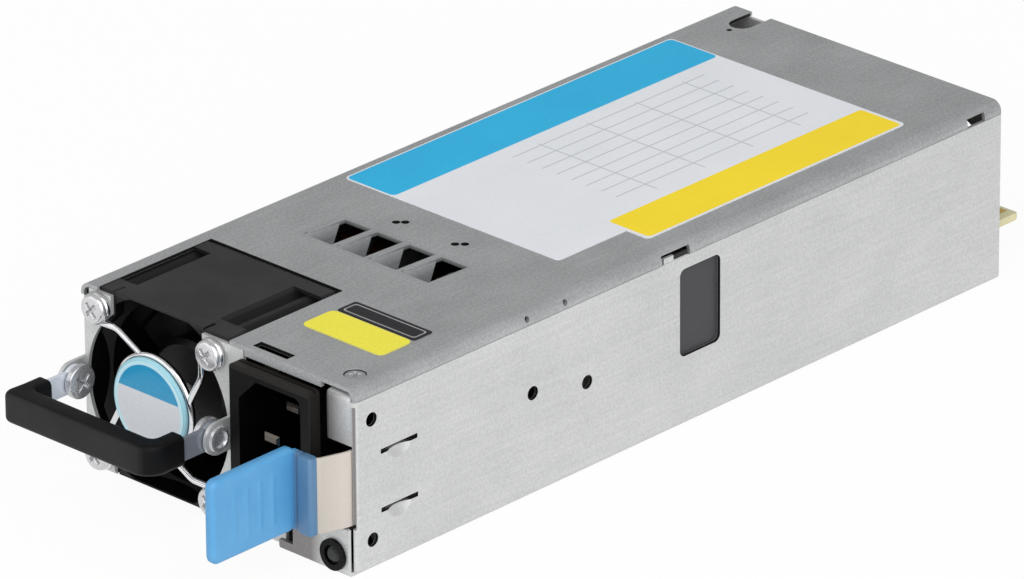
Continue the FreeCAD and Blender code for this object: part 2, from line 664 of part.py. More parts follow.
def inlet_body():
    """Moulded inlet: bezel, body, socket cavity, and fins between the bezel and the case."""
    bezel = box((INLET_X - BEZEL_HALF[0], INLET_X + BEZEL_HALF[0]), (INLET_FRONT, FRONT),
                (INLET_Z - BEZEL_HALF[1], INLET_Z + BEZEL_HALF[1]))
    bezel = rounded(bezel, 1.0, Y)
    groove = box((0, 40), (FRONT - 1.3, FRONT - 0.8), (INLET_Z + BEZEL_HALF[1] - 0.6, 40))
    body = prism(inlet_outline(BODY_HALF, CHAMFER, FRONT - 0.5), V(0, BODY_REAR - FRONT + 0.5, 0))
    cavity = prism(inlet_outline(CAVITY_HALF, CHAMFER, INLET_FRONT - 1), V(0, CAVITY_DEPTH + 1, 0))
    cavity = rounded(cavity, 1.6, Y, lambda p: p.x > INLET_X)
    snap = prism([V(11, -90.9, 35.0), V(11, -88.9, 35.0), V(11, -88.9, 36.9)], V(4, 0, 0))
    return cut(fuse([bezel.cut(groove), body, snap]), [cavity] + list(inlet_pins().values()))


def inlet_pins():
    """The three blades by name: line at the top right, neutral at the bottom right, earth at the left."""
    pins = {}
    places = {"inlet_line_pin": (PIN_OFFSET, PIN_PITCH), "inlet_neutral_pin": (PIN_OFFSET, -PIN_PITCH),
              "inlet_earth_pin": (-PIN_OFFSET, 0.0)}
    for name, (x, z) in places.items():
        front = EARTH_TIP if name == "inlet_earth_pin" else BLADE_TIP
        x += INLET_X
        z += INLET_Z
        shape = box((x - 2.0, x + 2.0), (front, -70.0), (z - 1.0, z + 1.0))
        pins[name] = shape.makeChamfer(0.5, [e for e in shape.Edges if e.CenterOfMass.y < front + 0.01])
    return pins


def inlet_leads():
    """Insulated leads from the blades down to the main board, as six-sided bars."""
    half = 1.1
    corners = [(half * math.cos(math.pi / 3 * k), half * math.sin(math.pi / 3 * k)) for k in range(6)]
    leads = []
    for x, z in ((PIN_OFFSET, PIN_PITCH), (PIN_OFFSET, -PIN_PITCH), (-PIN_OFFSET, 0.0)):
        blade_end = V(INLET_X + x, -70.0, INLET_Z + z)
        foot_y = -57.0 + 0.2 * z
        run = prism([blade_end.add(V(dx, 0, dz)) for dx, dz in corners], V(0, foot_y + half - blade_end.y, 0))
        drop = prism([V(blade_end.x + dx, foot_y + dy, BOARD_TOP) for dx, dy in corners],
                     V(0, 0, blade_end.z - BOARD_TOP))
        leads.append(fuse([run, drop]))
    return Part.makeCompound(leads)


# ======== latch and lamp ========

def ribbon(points):
    """Upright strip of spring steel that follows points in plan, with round bends."""
    pieces = []
    for start, end in zip(points[:-1], points[1:]):
        run = V(end[0] - start[0], end[1] - start[1], 0)
        side = V(-run.y, run.x, 0).normalize().multiply(STRIP_T / 2)
        a, b = V(start[0], start[1], STRIP_Z[0]), V(end[0], end[1], STRIP_Z[0])
        rise = V(0, 0, STRIP_Z[1] - STRIP_Z[0])
        pieces.append(prism([a.add(side), b.add(side), b.sub(side), a.sub(side)], rise))
        pieces.append(rod_z(start[0], start[1], STRIP_T / 2, *STRIP_Z))
    return fuse(pieces)


STRIP_POINTS = [(STRIP_X, LATCH_ROOT_Y), (STRIP_X, -92.6), (33.8, -99.3), (28.4, -99.95)]


def latch_spring():
    """Free length of the latch strip, with windows that clear the wall's dents."""
    strip = ribbon(STRIP_POINTS)
    windows = [box((34, 37), (-87.2, -74.4), (z - 3.4, z + 1.4)) for z in SLIT_Z]
    return cut(strip, windows)


def latch_root():
    """Rear end of the strip, spot-welded to the right wall."""
    plate = box((STRIP_X - STRIP_T / 2, INNER_W), (LATCH_ROOT_Y + STRIP_T / 2, -58.0), STRIP_Z)
    joint_y = LATCH_ROOT_Y + STRIP_T / 2 + 0.001
    plate = plate.cut(box((STRIP_X - 1, STRIP_X + STRIP_T / 2), (-80, joint_y), (0, 40)))
    return rounded(plate, 2.0, X, lambda p: p.y > -60)


def latch_tab():
    """Blue moulded tab on the strip's end: a bevelled and ribbed finger plate, a neck and a foot."""
    plate = rounded(box(TAB_X, TAB_Y, TAB_Z), TAB_R, X)
    plate = plate.makeChamfer(TAB_EDGE, [e for e in plate.Edges if e.BoundBox.XLength < 1e-6])
    foot_z = (STRIP_Z[0] - 0.3, STRIP_Z[1] + 0.3)
    neck = box((TAB_X[1] - 1.2, FOOT_X[0] + 0.2), (FOOT_Y[0] + 0.6, FOOT_Y[1]), foot_z)
    foot = rounded(box(FOOT_X, FOOT_Y, foot_z), 0.6, Z, lambda p: p.y < -100)
    ribs = [box((TAB_X[0] - 0.25, TAB_X[1] + 0.25), (y, y + 1.2), (13.2, 22.6)) for y in TAB_RIBS]
    return fuse([plate, neck, foot] + ribs).cut(ribbon(STRIP_POINTS))


def lamp_bezel():
    """Black collar and body of the status lamp."""
    collar = rod_y(*LAMP, 3.2, FRONT - 2.1, FRONT - 1.4)
    body = rod_y(*LAMP, 2.7, FRONT - 1.5, -86.0)
    return fuse([collar, body]).cut(rod_y(*LAMP, LENS_R, FRONT - 3, -90.0))


def lamp_lens():
    """Domed lens of the status lamp."""
    stem = rod_y(*LAMP, LENS_R, FRONT - 1.5, -90.0)
    dome = Part.makeCone(LENS_R - 0.9, LENS_R, 0.6, V(LAMP[0], FRONT - 2.1, LAMP[1]), Y)
    return fuse([stem, dome])


# ======== boards ========

STANDOFFS = [(-26.0, -53.0), (28.0, -53.0), (-31.5, 83.0), (31.0, 83.0)]


def insulator_sheet():
    """Plastic sheet between the floor and the main board."""
    sheet = box((-34.8, 34.8), (-60.0, 89.0), (SHEET, SHEET + 0.4))
    return cut(sheet, [rod_z(x, y, 2.8, 0, 3) for x, y in STANDOFFS])


def main_board():
    """Main circuit board with a corner cut away beside the latch."""
    board = box((-34.5, 34.5), BOARD_Y, (BOARD_Z, BOARD_TOP))
    corner = box((32.5, 36), (BOARD_Y[0] - 1, -40), (0, 9))
    return cut(board, [corner] + [rod_z(x, y, 1.25, 0, 9) for x, y in STANDOFFS])


def board_standoffs():
    """Hexagonal pillars under the main board."""
    pillars = []
    for x, y in STANDOFFS:
        turns = [math.pi / 3 * k for k in range(6)]
        points = [V(x + 2.6 * math.cos(turn), y + 2.6 * math.sin(turn), SHEET) for turn in turns]
        pillars.append(prism(points, V(0, 0, BOARD_Z - SHEET)))
    return Part.makeCompound(pillars)


def board_screws():
    """Pan-head screws of the main board."""
    screws = []
    for x, y in STANDOFFS:
        shank = rod_z(x, y, 1.2, BOARD_Z, BOARD_TOP)
        screws.append(fuse([shank, rod_z(x, y, 2.3, BOARD_TOP, BOARD_TOP + 1.3)]))
    return Part.makeCompound(screws)


def output_card():
    """Card-edge board that carries the output through the rear panel."""
    card = box((-CARD_HALF_W, CARD_HALF_W), CARD_Y, (CARD_Z, CARD_Z + BOARD_T))
    card = rounded(card, 1.2, Z, lambda p: p.y > 100)
    key = box((9.0, 11.0), (95.0, 110), (0, 20))
    across = V(80, 0, 0)
    top = CARD_Z + BOARD_T
    low = CARD_Z
    bevels = [prism([V(-40, 104, low - 1), V(-40, 102.3, low - 0.01), V(-40, 104, low + 0.5)], across),
              prism([V(-40, 104, top + 1), V(-40, 102.3, top + 0.01), V(-40, 104, top - 0.5)], across)]
    return cut(card, [key] + bevels)


def card_contacts():
    """Gilt contact pads on both faces of the card edge: broad ones for power, narrow ones for signals."""
    pads = []
    for low in (CARD_Z - 0.06, CARD_Z + BOARD_T):
        height = (low, low + 0.06)
        pads += [box((x, x + 6.0), (95.2, 102.0), height) for x in (-31.0, -24.2, -17.4, -10.6, -3.8, 2.4)]
        pads += [box((12.0 + 2.4 * index, 13.6 + 2.4 * index), (96.2, 102.0), height) for index in range(8)]
    return Part.makeCompound(pads)


def output_busbars():
    """Copper bars that lift the output from the main board to the card."""
    bars = [box((x, x + 8.0), (75.0, 77.0), (BOARD_TOP, CARD_Z)) for x in (-28.0, -14.0, 0.0, 14.0)]
    return Part.makeCompound(bars)


# ======== components ========

def choke(centre, axis, radius, thickness, hole, turns):
    """Ring core and its winding, made of a few broad bundles of wire."""
    half = V(axis).multiply(thickness / 2)
    core = rod(centre.sub(half), centre.add(half), radius)
    bore = rod(centre.sub(V(axis).multiply(thickness)), centre.add(V(axis).multiply(thickness)), hole)
    core = core.cut(bore)
    bundles = []
    radial = V(axis).cross(Z if abs(axis.z) < 0.5 else X)
    middle = (radius + hole) / 2
    for index in range(turns):
        length = radius - hole + 2 * WIRE_LAYER
        height = thickness + 2 * WIRE_LAYER
        spoke = Part.makeBox(length, BUNDLE_W, height, V(-length / 2, -BUNDLE_W / 2, -height / 2))
        spoke.translate(V(middle, 0, 0))
        spoke.rotate(V(0, 0, 0), Z, 360.0 * index / turns + 180.0 / turns)
        spoke.Placement = FreeCAD.Placement(centre, FreeCAD.Rotation(Z, axis)).multiply(spoke.Placement)
        bundles.append(spoke.cut(core))
    return core, Part.makeCompound(bundles)


def bulk_capacitor():
    """High-voltage capacitor lying along the left side, with a crimped neck."""
    outline = [(0, 0), (14.0, 0), (14.0, 3.0), (13.2, 4.2), (14.0, 5.4), (14.0, 44.0), (13.0, 45.0)]
    return turned_y(outline + [(0, 45.0)], -19.0, -8.0, BOARD_TOP + 14.0)


def finned_plate(x, y_range, top, fins, reach):
    """Upright heatsink plate along the board with fins to the right."""
    plate = box((x, x + 2.5), y_range, (BOARD_TOP, top))
    pitch = (top - BOARD_TOP - 1.5) / (fins - 1)
    lows = [BOARD_TOP + pitch * k for k in range(1, fins)]
    ribs = [box((x + 2.0, x + reach), y_range, (low, low + 1.5)) for low in lows]
    return fuse([plate] + ribs)


def transistors():
    """Four power transistors against the primary heatsink."""
    bodies = []
    for index in range(4):
        y = -14.0 + 10.5 * index
        body = box((-0.6, 4.0), (y, y + 8.6), (BOARD_TOP + 6, BOARD_TOP + 20))
        body = rounded(body, 0.6, Y, lambda p: p.x < 0)
        starts = [y + 1.0 + 2.8 * k for k in range(3)]
        legs = [box((1.2, 1.8), (start, start + 0.9), (BOARD_TOP, BOARD_TOP + 6)) for start in starts]
        bodies.append(fuse([body] + legs))
    return Part.makeCompound(bodies)


def bridge_rectifier():
    """Flat bridge rectifier with four legs."""
    body = box((-8.0, 10.0), (-24.4, -20.4), (BOARD_TOP + 5, BOARD_TOP + 20))
    body = rounded(body, 1.2, Y, lambda p: p.z > 20)
    body = body.cut(rod_y(1.0, BOARD_TOP + 15, 1.6, -30, -15))
    lefts = [-6.6 + 4.6 * k for k in range(4)]
    legs = [box((left, left + 1.0), (-22.8, -22.0), (BOARD_TOP, BOARD_TOP + 5)) for left in lefts]
    return fuse([body] + legs)


def transformer_core():
    """Ferrite E cores of the main transformer."""
    outer = box((12.0, 33.0), (33.0, 58.0), (BOARD_TOP + 2, BOARD_TOP + 24))
    window_z = (BOARD_TOP + 6, BOARD_TOP + 20)
    windows = [box(x_range, (30, 60), window_z) for x_range in ((15.5, 19.0), (26.0, 29.5))]
    return cut(outer, windows)


def transformer_winding():
    """Coil former and windings through the core's windows, with pins to the board."""
    coil = rounded(box((15.7, 29.3), (30.5, 60.5), (BOARD_TOP + 6.2, BOARD_TOP + 19.8)), 1.5, X)
    leg = box((19.0, 26.0), (33.0, 58.0), (BOARD_TOP + 2, BOARD_TOP + 24))
    places = [(x, y) for x in (17.1, 22.1, 27.1) for y in (31.2, 59.0)]
    pins = [box((x, x + 0.8), (y, y + 0.8), (BOARD_TOP, BOARD_TOP + 7.5)) for x, y in places]
    return fuse([coil.cut(leg)] + pins)


def x_capacitors():
    """Two boxed film capacitors across the line."""
    places = (((5.0, 11.0), (-48.0, -28.0)), ((-33.0, -21.0), (-47.0, -39.0)))
    shapes = [rounded(box(x, y, (BOARD_TOP, BOARD_TOP + 15)), 0.8, Z) for x, y in places]
    return Part.makeCompound(shapes)


def output_capacitors():
    """Row of six output capacitors in front of the card."""
    cans = [rod_z(-30.0 + 9.2 * index, 69.0, 4.0, BOARD_TOP, BOARD_TOP + 17.0) for index in range(6)]
    return Part.makeCompound(cans)


def control_board():
    """Upright control board along the left wall, with its chips."""
    board = box((-33.6, -32.0), (40.5, 63.0), (BOARD_TOP, 33.0))
    chips = [box((-32.0, -30.8), (y, y + 7), (z, z + 7)) for y, z in ((43, 12), (53, 12), (48, 23))]
    return fuse([board] + chips)


# ======== labels ========

def thin_plate(x_range, y_range, radius):
    """Film stuck on the cover."""
    return rounded(box(x_range, y_range, (HEIGHT, HEIGHT + FILM_T)), radius, Z)


def rating_label():
    """Large label, wider along its right side behind the step."""
    wide = thin_plate((-33.3, 30.4), (-4.4, 71.0), 1.2)
    narrow = thin_plate((-33.3, 24.6), (-23.6, 20.0), 1.2)
    return fuse([wide, narrow])


def main():
    """Build and write every node."""
    save("chassis", chassis())
    save("top_cover", top_cover())
    save("rear_panel", rear_panel())
    save("cover_screw", cover_screw())
    save("fan_frame", fan_frame())
    save("fan_rotor", fan_rotor())
    save("fan_shaft", fan_shaft())
    save("rotor_magnet", rotor_magnet())
    save("fan_bearings", fan_bearings())
    save("fan_stator", fan_stator())
    save("fan_coils", fan_coils())
    save("fan_board", fan_board())
    save("finger_guard", finger_guard())
    save("guard_disc", guard_disc())
    save("disc_label", disc_label())
    save("fan_screws", fan_screws())
    save("fan_lead", fan_lead())
    save("handle_arms", handle_arms())
    save("handle_grip", handle_grip())
    save("pivot_screws", pivot_screws())
    save("inlet_body", inlet_body())
    for name, pin in inlet_pins().items():
        save(name, pin)
    save("inlet_leads", inlet_leads())
    save("latch_spring", latch_spring())
    save("latch_root", latch_root())
    save("latch_tab", latch_tab())
    save("lamp_bezel", lamp_bezel())
    save("lamp_lens", lamp_lens())
    save("insulator_sheet", insulator_sheet())
    save("main_board", main_board())
    save("board_standoffs", board_standoffs())
    save("board_screws", board_screws())
    save("output_card", output_card())
    save("card_contacts", card_contacts())
    save("output_busbars", output_busbars())
    filter_core, filter_winding = choke(V(22.0, -37.0, BOARD_TOP + 8.4), Z, 9.0, 12.0, 4.4, 6)
    save("filter_choke_core", filter_core)
    save("filter_choke_winding", filter_winding)
    boost_core, boost_winding = choke(V(-21.0, -26.0, BOARD_TOP + 14.4), Y, 11.5, 9.0, 5.6, 8)
    save("boost_choke_core", boost_core)
    save("boost_choke_winding", boost_winding)
    save("x_capacitors", x_capacitors())
    save("relay", rounded(box((14.0, 30.0), (-23.0, -11.0), (BOARD_TOP, BOARD_TOP + 14)), 0.8, Z))
    save("fuse", rod_y(1.0, BOARD_TOP + 4.0, 2.6, -50.0, -30.0))
    save("bridge_rectifier", bridge_rectifier())
    save("bulk_capacitor", bulk_capacitor())
    save("primary_heatsink", finned_plate(4.0, (-15.0, 31.0), 35.0, 4, 9.5))
    save("transistors", transistors())
    save("transformer_core", transformer_core())
    save("transformer_winding", transformer_winding())
    save("secondary_heatsink", finned_plate(-28.0, (41.0, 62.0), 35.0, 5, 16.0))
    save("output_inductor", rounded(box((-3.5, 9.5), (43.0, 60.0), (BOARD_TOP, BOARD_TOP + 16)), 1.5, Z))
    save("output_capacitors", output_capacitors())
    save("control_board", control_board())
    save("rating_label", rating_label())
    save("yellow_sticker", thin_plate((8.4, 29.8), (-78.2, -69.2), 1.6))
    save("black_sticker", thin_plate((9.0, 29.6), (-68.9, -63.6), 0.6))
    save("window_film", box((INNER_W - 0.25, INNER_W), (-4.0, 11.2), (13.0, 35.3)))


main()
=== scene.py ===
"""Hot swap server power supply, dressed: a finish for every node of the frame, and smooth new surfaces for
the wire guard and its disc, the moulded grip, the release tab, the latch strip, the screw heads and the front
of the fan's housing. The row frame has +X right, +Y towards the rear connector and +Z up. Places on the part
are millimetres of it, which piece() turns into metres. The floor, lamps and camera are in metres."""
import json
import math
import bmesh
import bpy
import numpy as np
from mathutils import Matrix, Vector


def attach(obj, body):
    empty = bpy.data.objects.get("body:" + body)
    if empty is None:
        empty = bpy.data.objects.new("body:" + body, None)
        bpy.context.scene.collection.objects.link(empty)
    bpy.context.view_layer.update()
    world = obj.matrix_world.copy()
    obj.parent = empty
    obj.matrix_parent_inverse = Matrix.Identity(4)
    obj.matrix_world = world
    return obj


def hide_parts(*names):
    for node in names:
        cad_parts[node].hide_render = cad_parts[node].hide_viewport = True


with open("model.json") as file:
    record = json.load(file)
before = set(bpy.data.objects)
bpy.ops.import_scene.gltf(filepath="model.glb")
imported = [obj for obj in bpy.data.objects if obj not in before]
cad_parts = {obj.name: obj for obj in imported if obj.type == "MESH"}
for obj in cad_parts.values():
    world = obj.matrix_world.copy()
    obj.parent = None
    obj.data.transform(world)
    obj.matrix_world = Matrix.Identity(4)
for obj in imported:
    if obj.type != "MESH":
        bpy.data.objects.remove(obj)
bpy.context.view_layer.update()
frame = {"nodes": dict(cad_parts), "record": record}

MM = 0.001
AXIS_X, AXIS_Y, AXIS_Z = np.eye(3)
PLAN = (AXIS_X, AXIS_Y)

CASE_HALF_WIDTH = 36.75
FRONT = -92.5
FAN = np.array([-16.2, 0.0, 19.5])
SCREW_PITCH = 31.0
WIRE = 0.7


# ======== colours and shader maths ========

def tone(red, green, blue):
    """Linear colour of the three display values, each from 0 to 255."""
    def linear(value):
        value = value / 255.0
        return value / 12.92 if value <= 0.04045 else ((value + 0.055) / 1.055) ** 2.4
    return (linear(red), linear(green), linear(blue), 1.0)


def darker(colour, share):
    """The colour with its light cut to that share."""
    return tuple(part * share for part in colour[:3]) + (1.0,)


class Value:
    """A number or vector that varies over a surface; each operator adds the Math node for it."""

    def __init__(self, finish, socket):
        self.finish = finish
        self.socket = socket

    def maths(self, operation, *values):
        return self.finish.node("ShaderNodeMath", {"operation": operation}, values)

    def __add__(self, other):
        return self.maths("ADD", self, other)

    def __sub__(self, other):
        return self.maths("SUBTRACT", self, other)

    def __rsub__(self, other):
        return self.maths("SUBTRACT", other, self)

    def __mul__(self, other):
        return self.maths("MULTIPLY", self, other)

    __radd__ = __add__

    def size(self):
        """Distance from zero."""
        return self.maths("ABSOLUTE", self)

    def most(self, other):
        return self.maths("MAXIMUM", self, other)

    def least(self, other):
        return self.maths("MINIMUM", self, other)

    def cycle(self, period):
        """The rest after dividing by the period, from 0 to the period."""
        return self.maths("FLOORED_MODULO", self, period)

    def root(self):
        return self.maths("SQRT", self)

    def step(self, low, high):
        """0 below low, 1 above high, and a straight ramp between them."""
        ends = {"Value": self, "From Min": low, "From Max": high}
        return self.finish.node("ShaderNodeMapRange", {"clamp": True}, ends)


class Finish:
    """One material of this power supply. Lengths on it are millimetres of the row frame."""

    # the Mix node's sockets for colours
    MIX_FIRST, MIX_SECOND, MIX_RESULT = 6, 7, 2

    def __init__(self, name, base, roughness, metallic=0.0, **shader):
        self.material = bpy.data.materials.new(name)
        self.material.use_nodes = True
        self.tree = self.material.node_tree
        self.tree.nodes.clear()
        self.shader = self.tree.nodes.new("ShaderNodeBsdfPrincipled")
        self.output = self.tree.nodes.new("ShaderNodeOutputMaterial")
        self.tree.links.new(self.shader.outputs["BSDF"], self.output.inputs["Surface"])
        self.put("Base Color", base)
        self.put("Roughness", roughness)
        self.put("Metallic", metallic)
        for socket, value in shader.items():
            self.put(socket.replace("_", " "), value)
        here = self.node("ShaderNodeTexCoord", {}, {}, "Object")
        to_mm = {0: here, "Scale": 1.0 / MM}
        self.place = self.node("ShaderNodeVectorMath", {"operation": "SCALE"}, to_mm)
        parts = self.tree.nodes.new("ShaderNodeSeparateXYZ")
        self.tree.links.new(self.place.socket, parts.inputs[0])
        self.x, self.y, self.z = (Value(self, output) for output in parts.outputs)

    def feed(self, socket, value):
        """Links a varying value to a socket, or sets a constant on it."""
        if isinstance(value, Value):
            self.tree.links.new(value.socket, socket)
        else:
            socket.default_value = value

    def node(self, kind, settings, inputs, output=0):
        """Adds a node of that kind, sets it up, feeds its sockets, and returns one output."""
        node = self.tree.nodes.new(kind)
        for name, value in settings.items():
            setattr(node, name, value)
        for key, value in inputs.items() if isinstance(inputs, dict) else enumerate(inputs):
            self.feed(node.inputs[key], value)
        return Value(self, node.outputs[output])

    def put(self, name, value):
        """Feeds one socket of the shader."""
        self.feed(self.shader.inputs[name], value)

    def noise(self, size, detail, low=0.3, high=0.7, stretch=(1.0, 1.0, 1.0)):
        """Cloudy noise with grains of about that size, lengthened by stretch along each axis. It is 0 where
        the plain noise is below low and 1 where it is above high."""
        spread = tuple(1.0 / (size * s) for s in stretch)
        point = self.node("ShaderNodeVectorMath", {"operation": "MULTIPLY"}, [self.place, spread])
        values = {"Vector": point, "Scale": 1.0, "Detail": detail}
        return self.node("ShaderNodeTexNoise", {}, values, "Fac").step(low, high)

    def mix(self, amount, first, second):
        """The first colour where amount is 0 and the second where it is 1."""
        values = {"Factor": amount, self.MIX_FIRST: first, self.MIX_SECOND: second}
        return self.node("ShaderNodeMix", {"data_type": "RGBA"}, values, self.MIX_RESULT)

    def bump(self, height, depth):
        """Feeds the shader's normal with that height, whose full swing is depth millimetres."""
        values = {"Height": height, "Distance": depth * MM}
        self.put("Normal", self.node("ShaderNodeBump", {}, values, "Normal"))


# ======== places on the part ========

CRISP = 0.02
SOFT = 0.05
COVER_VENTS = {"x": (-21.5, 14.2), "y": (-49.0, -36.5)}


def window(value, low, high, edge=SOFT):
    """1 where the value lies between low and high and 0 outside, with a ramp of twice the edge at each."""
    return value.step(low - edge, low + edge) - value.step(high - edge, high + edge)


def block(finish, **spans):
    """1 inside a box and 0 outside. Each span is an axis's low and high place, and its edge if not SOFT."""
    amounts = [window(getattr(finish, axis), *span) for axis, span in spans.items()]
    return math.prod(amounts[1:], start=amounts[0])


def rounded_plate(finish, low, high, radius):
    """1 inside an upright rounded rectangle on top of the case, 0 outside, with a crisp edge."""
    edge = 0.06
    middle = [(a + b) / 2 for a, b in zip(low, high)]
    reach = [(b - a) / 2 - radius for a, b in zip(low, high)]
    across = ((finish.x - middle[0]).size() - reach[0]).most(0.0)
    along = ((finish.y - middle[1]).size() - reach[1]).most(0.0)
    distance = (across * across + along * along).root()
    return 1.0 - distance.step(radius - edge, radius + edge)


def rules(value, spacing):
    """A thin line at each multiple of the spacing, soft on both sides."""
    full, end = 0.3, 0.55
    rest = value.cycle(spacing)
    return rest.step(0.0, full) - rest.step(full, end)


def wall_cuts_and_painted_shade(finish):
    """Raw edges inside the right wall's thickness, where holes, slits and the window go through it but not in
    its two lanced dents; and painted shade on the hook, for the shaded gap beside it in the cover's notch."""
    inside = block(finish, x=(36.0, 36.70, CRISP), z=(1.6, 36.0), y=(-91.0, 91.0))
    dents = window(finish.z, 8.3, 11.08, CRISP) + window(finish.z, 20.6, 23.38, CRISP)
    # painted shade: the hook is painted dark like the shaded gap beside it
    painted_gap_shade = block(finish, y=(-3.9, 0.1), x=(35.6, 36.9)) * finish.z.step(36.3, 36.45)
    return (inside * (1.0 - dents * window(finish.y, -84.6, -76.6)) + painted_gap_shade).least(1.0)


def cover_cuts(finish):
    """Raw edges inside the cover's thickness, round its slots and holes but not on the vents' bent flaps."""
    inside = block(finish, z=(38.25, 38.93, CRISP), x=(-34.2, 34.2), y=(-91.9, 92.0))
    return inside * (1.0 - block(finish, **COVER_VENTS))


def vent_painted_shade(finish):
    """Painted shade on the vents' bent flaps: darker metal, deepest where they dip furthest."""
    return block(finish, **COVER_VENTS) * (1.0 - finish.z.step(38.1, 39.09)) * 0.75, tone(74, 76, 78)


def lip_painted_shade(finish):
    """Painted shade: a rosy grey on the bare lip under the inlet, which fades out before the lamp; the
    inlet's painted shadow on the front beside it; and dark painted shade in the seam between the right wall
    and that front."""
    # painted shade on the lip under the inlet
    lip = block(finish, y=(-95.0, -93.0), z=(0.4, 9.0)) * (1.0 - finish.x.step(26.0, 29.5))
    front = 1.0 - finish.y.step(-92.2, -91.9)
    raised = front * finish.z.step(9.0, 10.0) * finish.x.step(26.0, 27.0)
    # painted shadow of the inlet on the front beside it
    painted_inlet_shadow = raised * (1.0 - finish.x.step(30.5, 35.0))
    # painted shade in the seam between the right wall and the front
    seam = block(finish, y=(-92.44, -92.04, 0.08), x=(35.6, 36.8), z=(9.6, 35.2))
    return (lip * 0.8 + painted_inlet_shadow * 0.8 + seam * 0.85).least(1.0), tone(104, 99, 99)


def strip_painted_shade(finish):
    """Painted shade on the latch strip's bend, away from the wall."""
    return 1.0 - finish.x.step(33.3, 35.6), tone(184, 178, 170)


def arm_painted_shade(finish):
    """Painted shade on the handle's right arm."""
    return finish.x.step(-12.0, 0.0) * 0.8, tone(112, 119, 130)


def tab_painted_shade(finish):
    """Painted shade: greyer blue on the tab's foot, and a deep blue in the groove before it."""
    # painted shade in the groove
    groove = window(finish.x, 28.25, 29.35, 0.1) * 0.6
    foot = finish.x.step(28.9, 29.4)
    return (foot * 0.75 + groove).least(1.0), tone(76, 96, 122)


def inlet_painted_light(finish):
    """Painted light: paler right side and top of the inlet."""
    return (finish.x.step(27.3, 27.5) + finish.z.step(35.1, 35.3)).least(1.0), tone(36, 34, 32)


def fan_top_painted_light(finish):
    """Painted light: paler top of the fan's housing."""
    return finish.z.step(38.0, 38.4), tone(31, 30, 32)


def grip_front_painted_light(finish):
    """Painted light: paler front face of the grip."""
    return 1.0 - finish.y.step(-114.3, -113.6), tone(42, 40, 41)


# ======== finishes ========

def steel(name, light, dark, roughness, speckle=1.0, metallic=0.55, cut_edge=None, tint=None):
    """Plated sheet: a fine crystalline speckle, fine rolling marks and broad soft clouds. cut_edge gives
    the amount of raw, dark edge at a place, and for the case also painted shade beside the hook; tint
    gives an amount of painted shade at a place and its colour."""
    finish = Finish(name, light, roughness, metallic)
    grains = finish.noise(0.55, 3.0, 0.38, 0.64)
    clouds = finish.noise(14.0, 3.0)
    rolled = finish.noise(0.5, 2.0, 0.35, 0.68, (1.0, 26.0, 1.0))
    colour = finish.mix(grains * (0.46 * speckle) + clouds * 0.32 + rolled * 0.22, dark, light)
    # painted shade, in its own colour, at the places given
    if tint:
        amount, shade = tint(finish)
        colour = finish.mix(amount, colour, shade)
    # raw dark edges; for the case also the painted shade beside the hook
    if cut_edge:
        colour = finish.mix(cut_edge(finish), colour, tone(34, 34, 35))
    finish.put("Base Color", colour)
    finish.put("Roughness", roughness + 0.10 - grains * 0.14 + clouds * 0.06)
    finish.bump(grains * 0.6 + rolled * 0.4, 0.012 * speckle)
    return finish.material


def bright(name, colour, roughness, metallic=1.0):
    """Nickel-plated wire, screws and pins: mirror-like, with fine marks."""
    finish = Finish(name, colour, roughness, metallic)
    marks = finish.noise(0.5, 2.0)
    finish.put("Roughness", marks * 0.08 + (roughness - 0.04))
    finish.put("Base Color", finish.mix(marks, darker(colour, 0.86), colour))
    finish.bump(marks, 0.0015)
    return finish.material


def moulded(name, colour, worn, roughness, grain=0.25, depth=0.012, patch=None, **shader):
    """Moulded plastic: spark-eroded grain and faint flow clouds of the worn colour. patch gives the amount
    of painted light or shade at a place, such as a paler top or a darker groove, and its colour."""
    finish = Finish(name, colour, roughness, **shader)
    texture = finish.noise(grain, 2.0)
    clouds = finish.noise(9.0, 3.0, 0.35, 0.75)
    blend = finish.mix(clouds * 0.7 + texture * 0.3, colour, worn)
    if patch:
        # painted light and shade over the plastic's own colours
        amount, shade = patch(finish)
        blend = finish.mix(amount * (clouds * 0.2 + 0.8), blend, shade)
    finish.put("Base Color", blend)
    finish.put("Roughness", roughness + 0.06 - clouds * 0.10 + texture * 0.04)
    finish.bump(texture, depth)
    return finish.material


def rating_film(name, roughness):
    """Printed rating film: white, with a blue band on the left, a yellow band on the right, and an empty
    table of thin grey rules."""
    table = {"x": (-16.5, 15.5), "y": (6.0, 62.0)}
    row_pitch, column_pitch = 4.0, 14.0
    blue_band = (-33.0, -23.3), (-20.0, 70.7), 1.2
    yellow_band = (19.0, -3.6), (29.9, 70.2), 1.0
    white = tone(226, 228, 232)
    finish = Finish(name, white, roughness, Specular_IOR_Level=0.3)
    fibre = finish.noise(0.8, 3.0)
    waves = finish.noise(18.0, 2.0)
    body = finish.mix(fibre * 0.5 + waves * 0.5, white, tone(216, 219, 224))
    lines = rules(finish.x, row_pitch).most(rules(finish.y, column_pitch)) * block(finish, **table) * 0.55
    body = finish.mix(lines, body, tone(120, 124, 130))
    blue = finish.mix(waves * 0.6 + fibre * 0.4, tone(0, 176, 222), tone(0, 166, 216))
    body = finish.mix(rounded_plate(finish, *blue_band), body, blue)
    yellow = finish.mix(waves * 0.6 + fibre * 0.4, tone(246, 219, 0), tone(240, 210, 0))
    body = finish.mix(rounded_plate(finish, *yellow_band), body, yellow)
    finish.put("Base Color", body)
    finish.put("Roughness", roughness + fibre * 0.08)
    finish.bump(waves * 0.7 + fibre * 0.3, 0.03)
    return finish.material


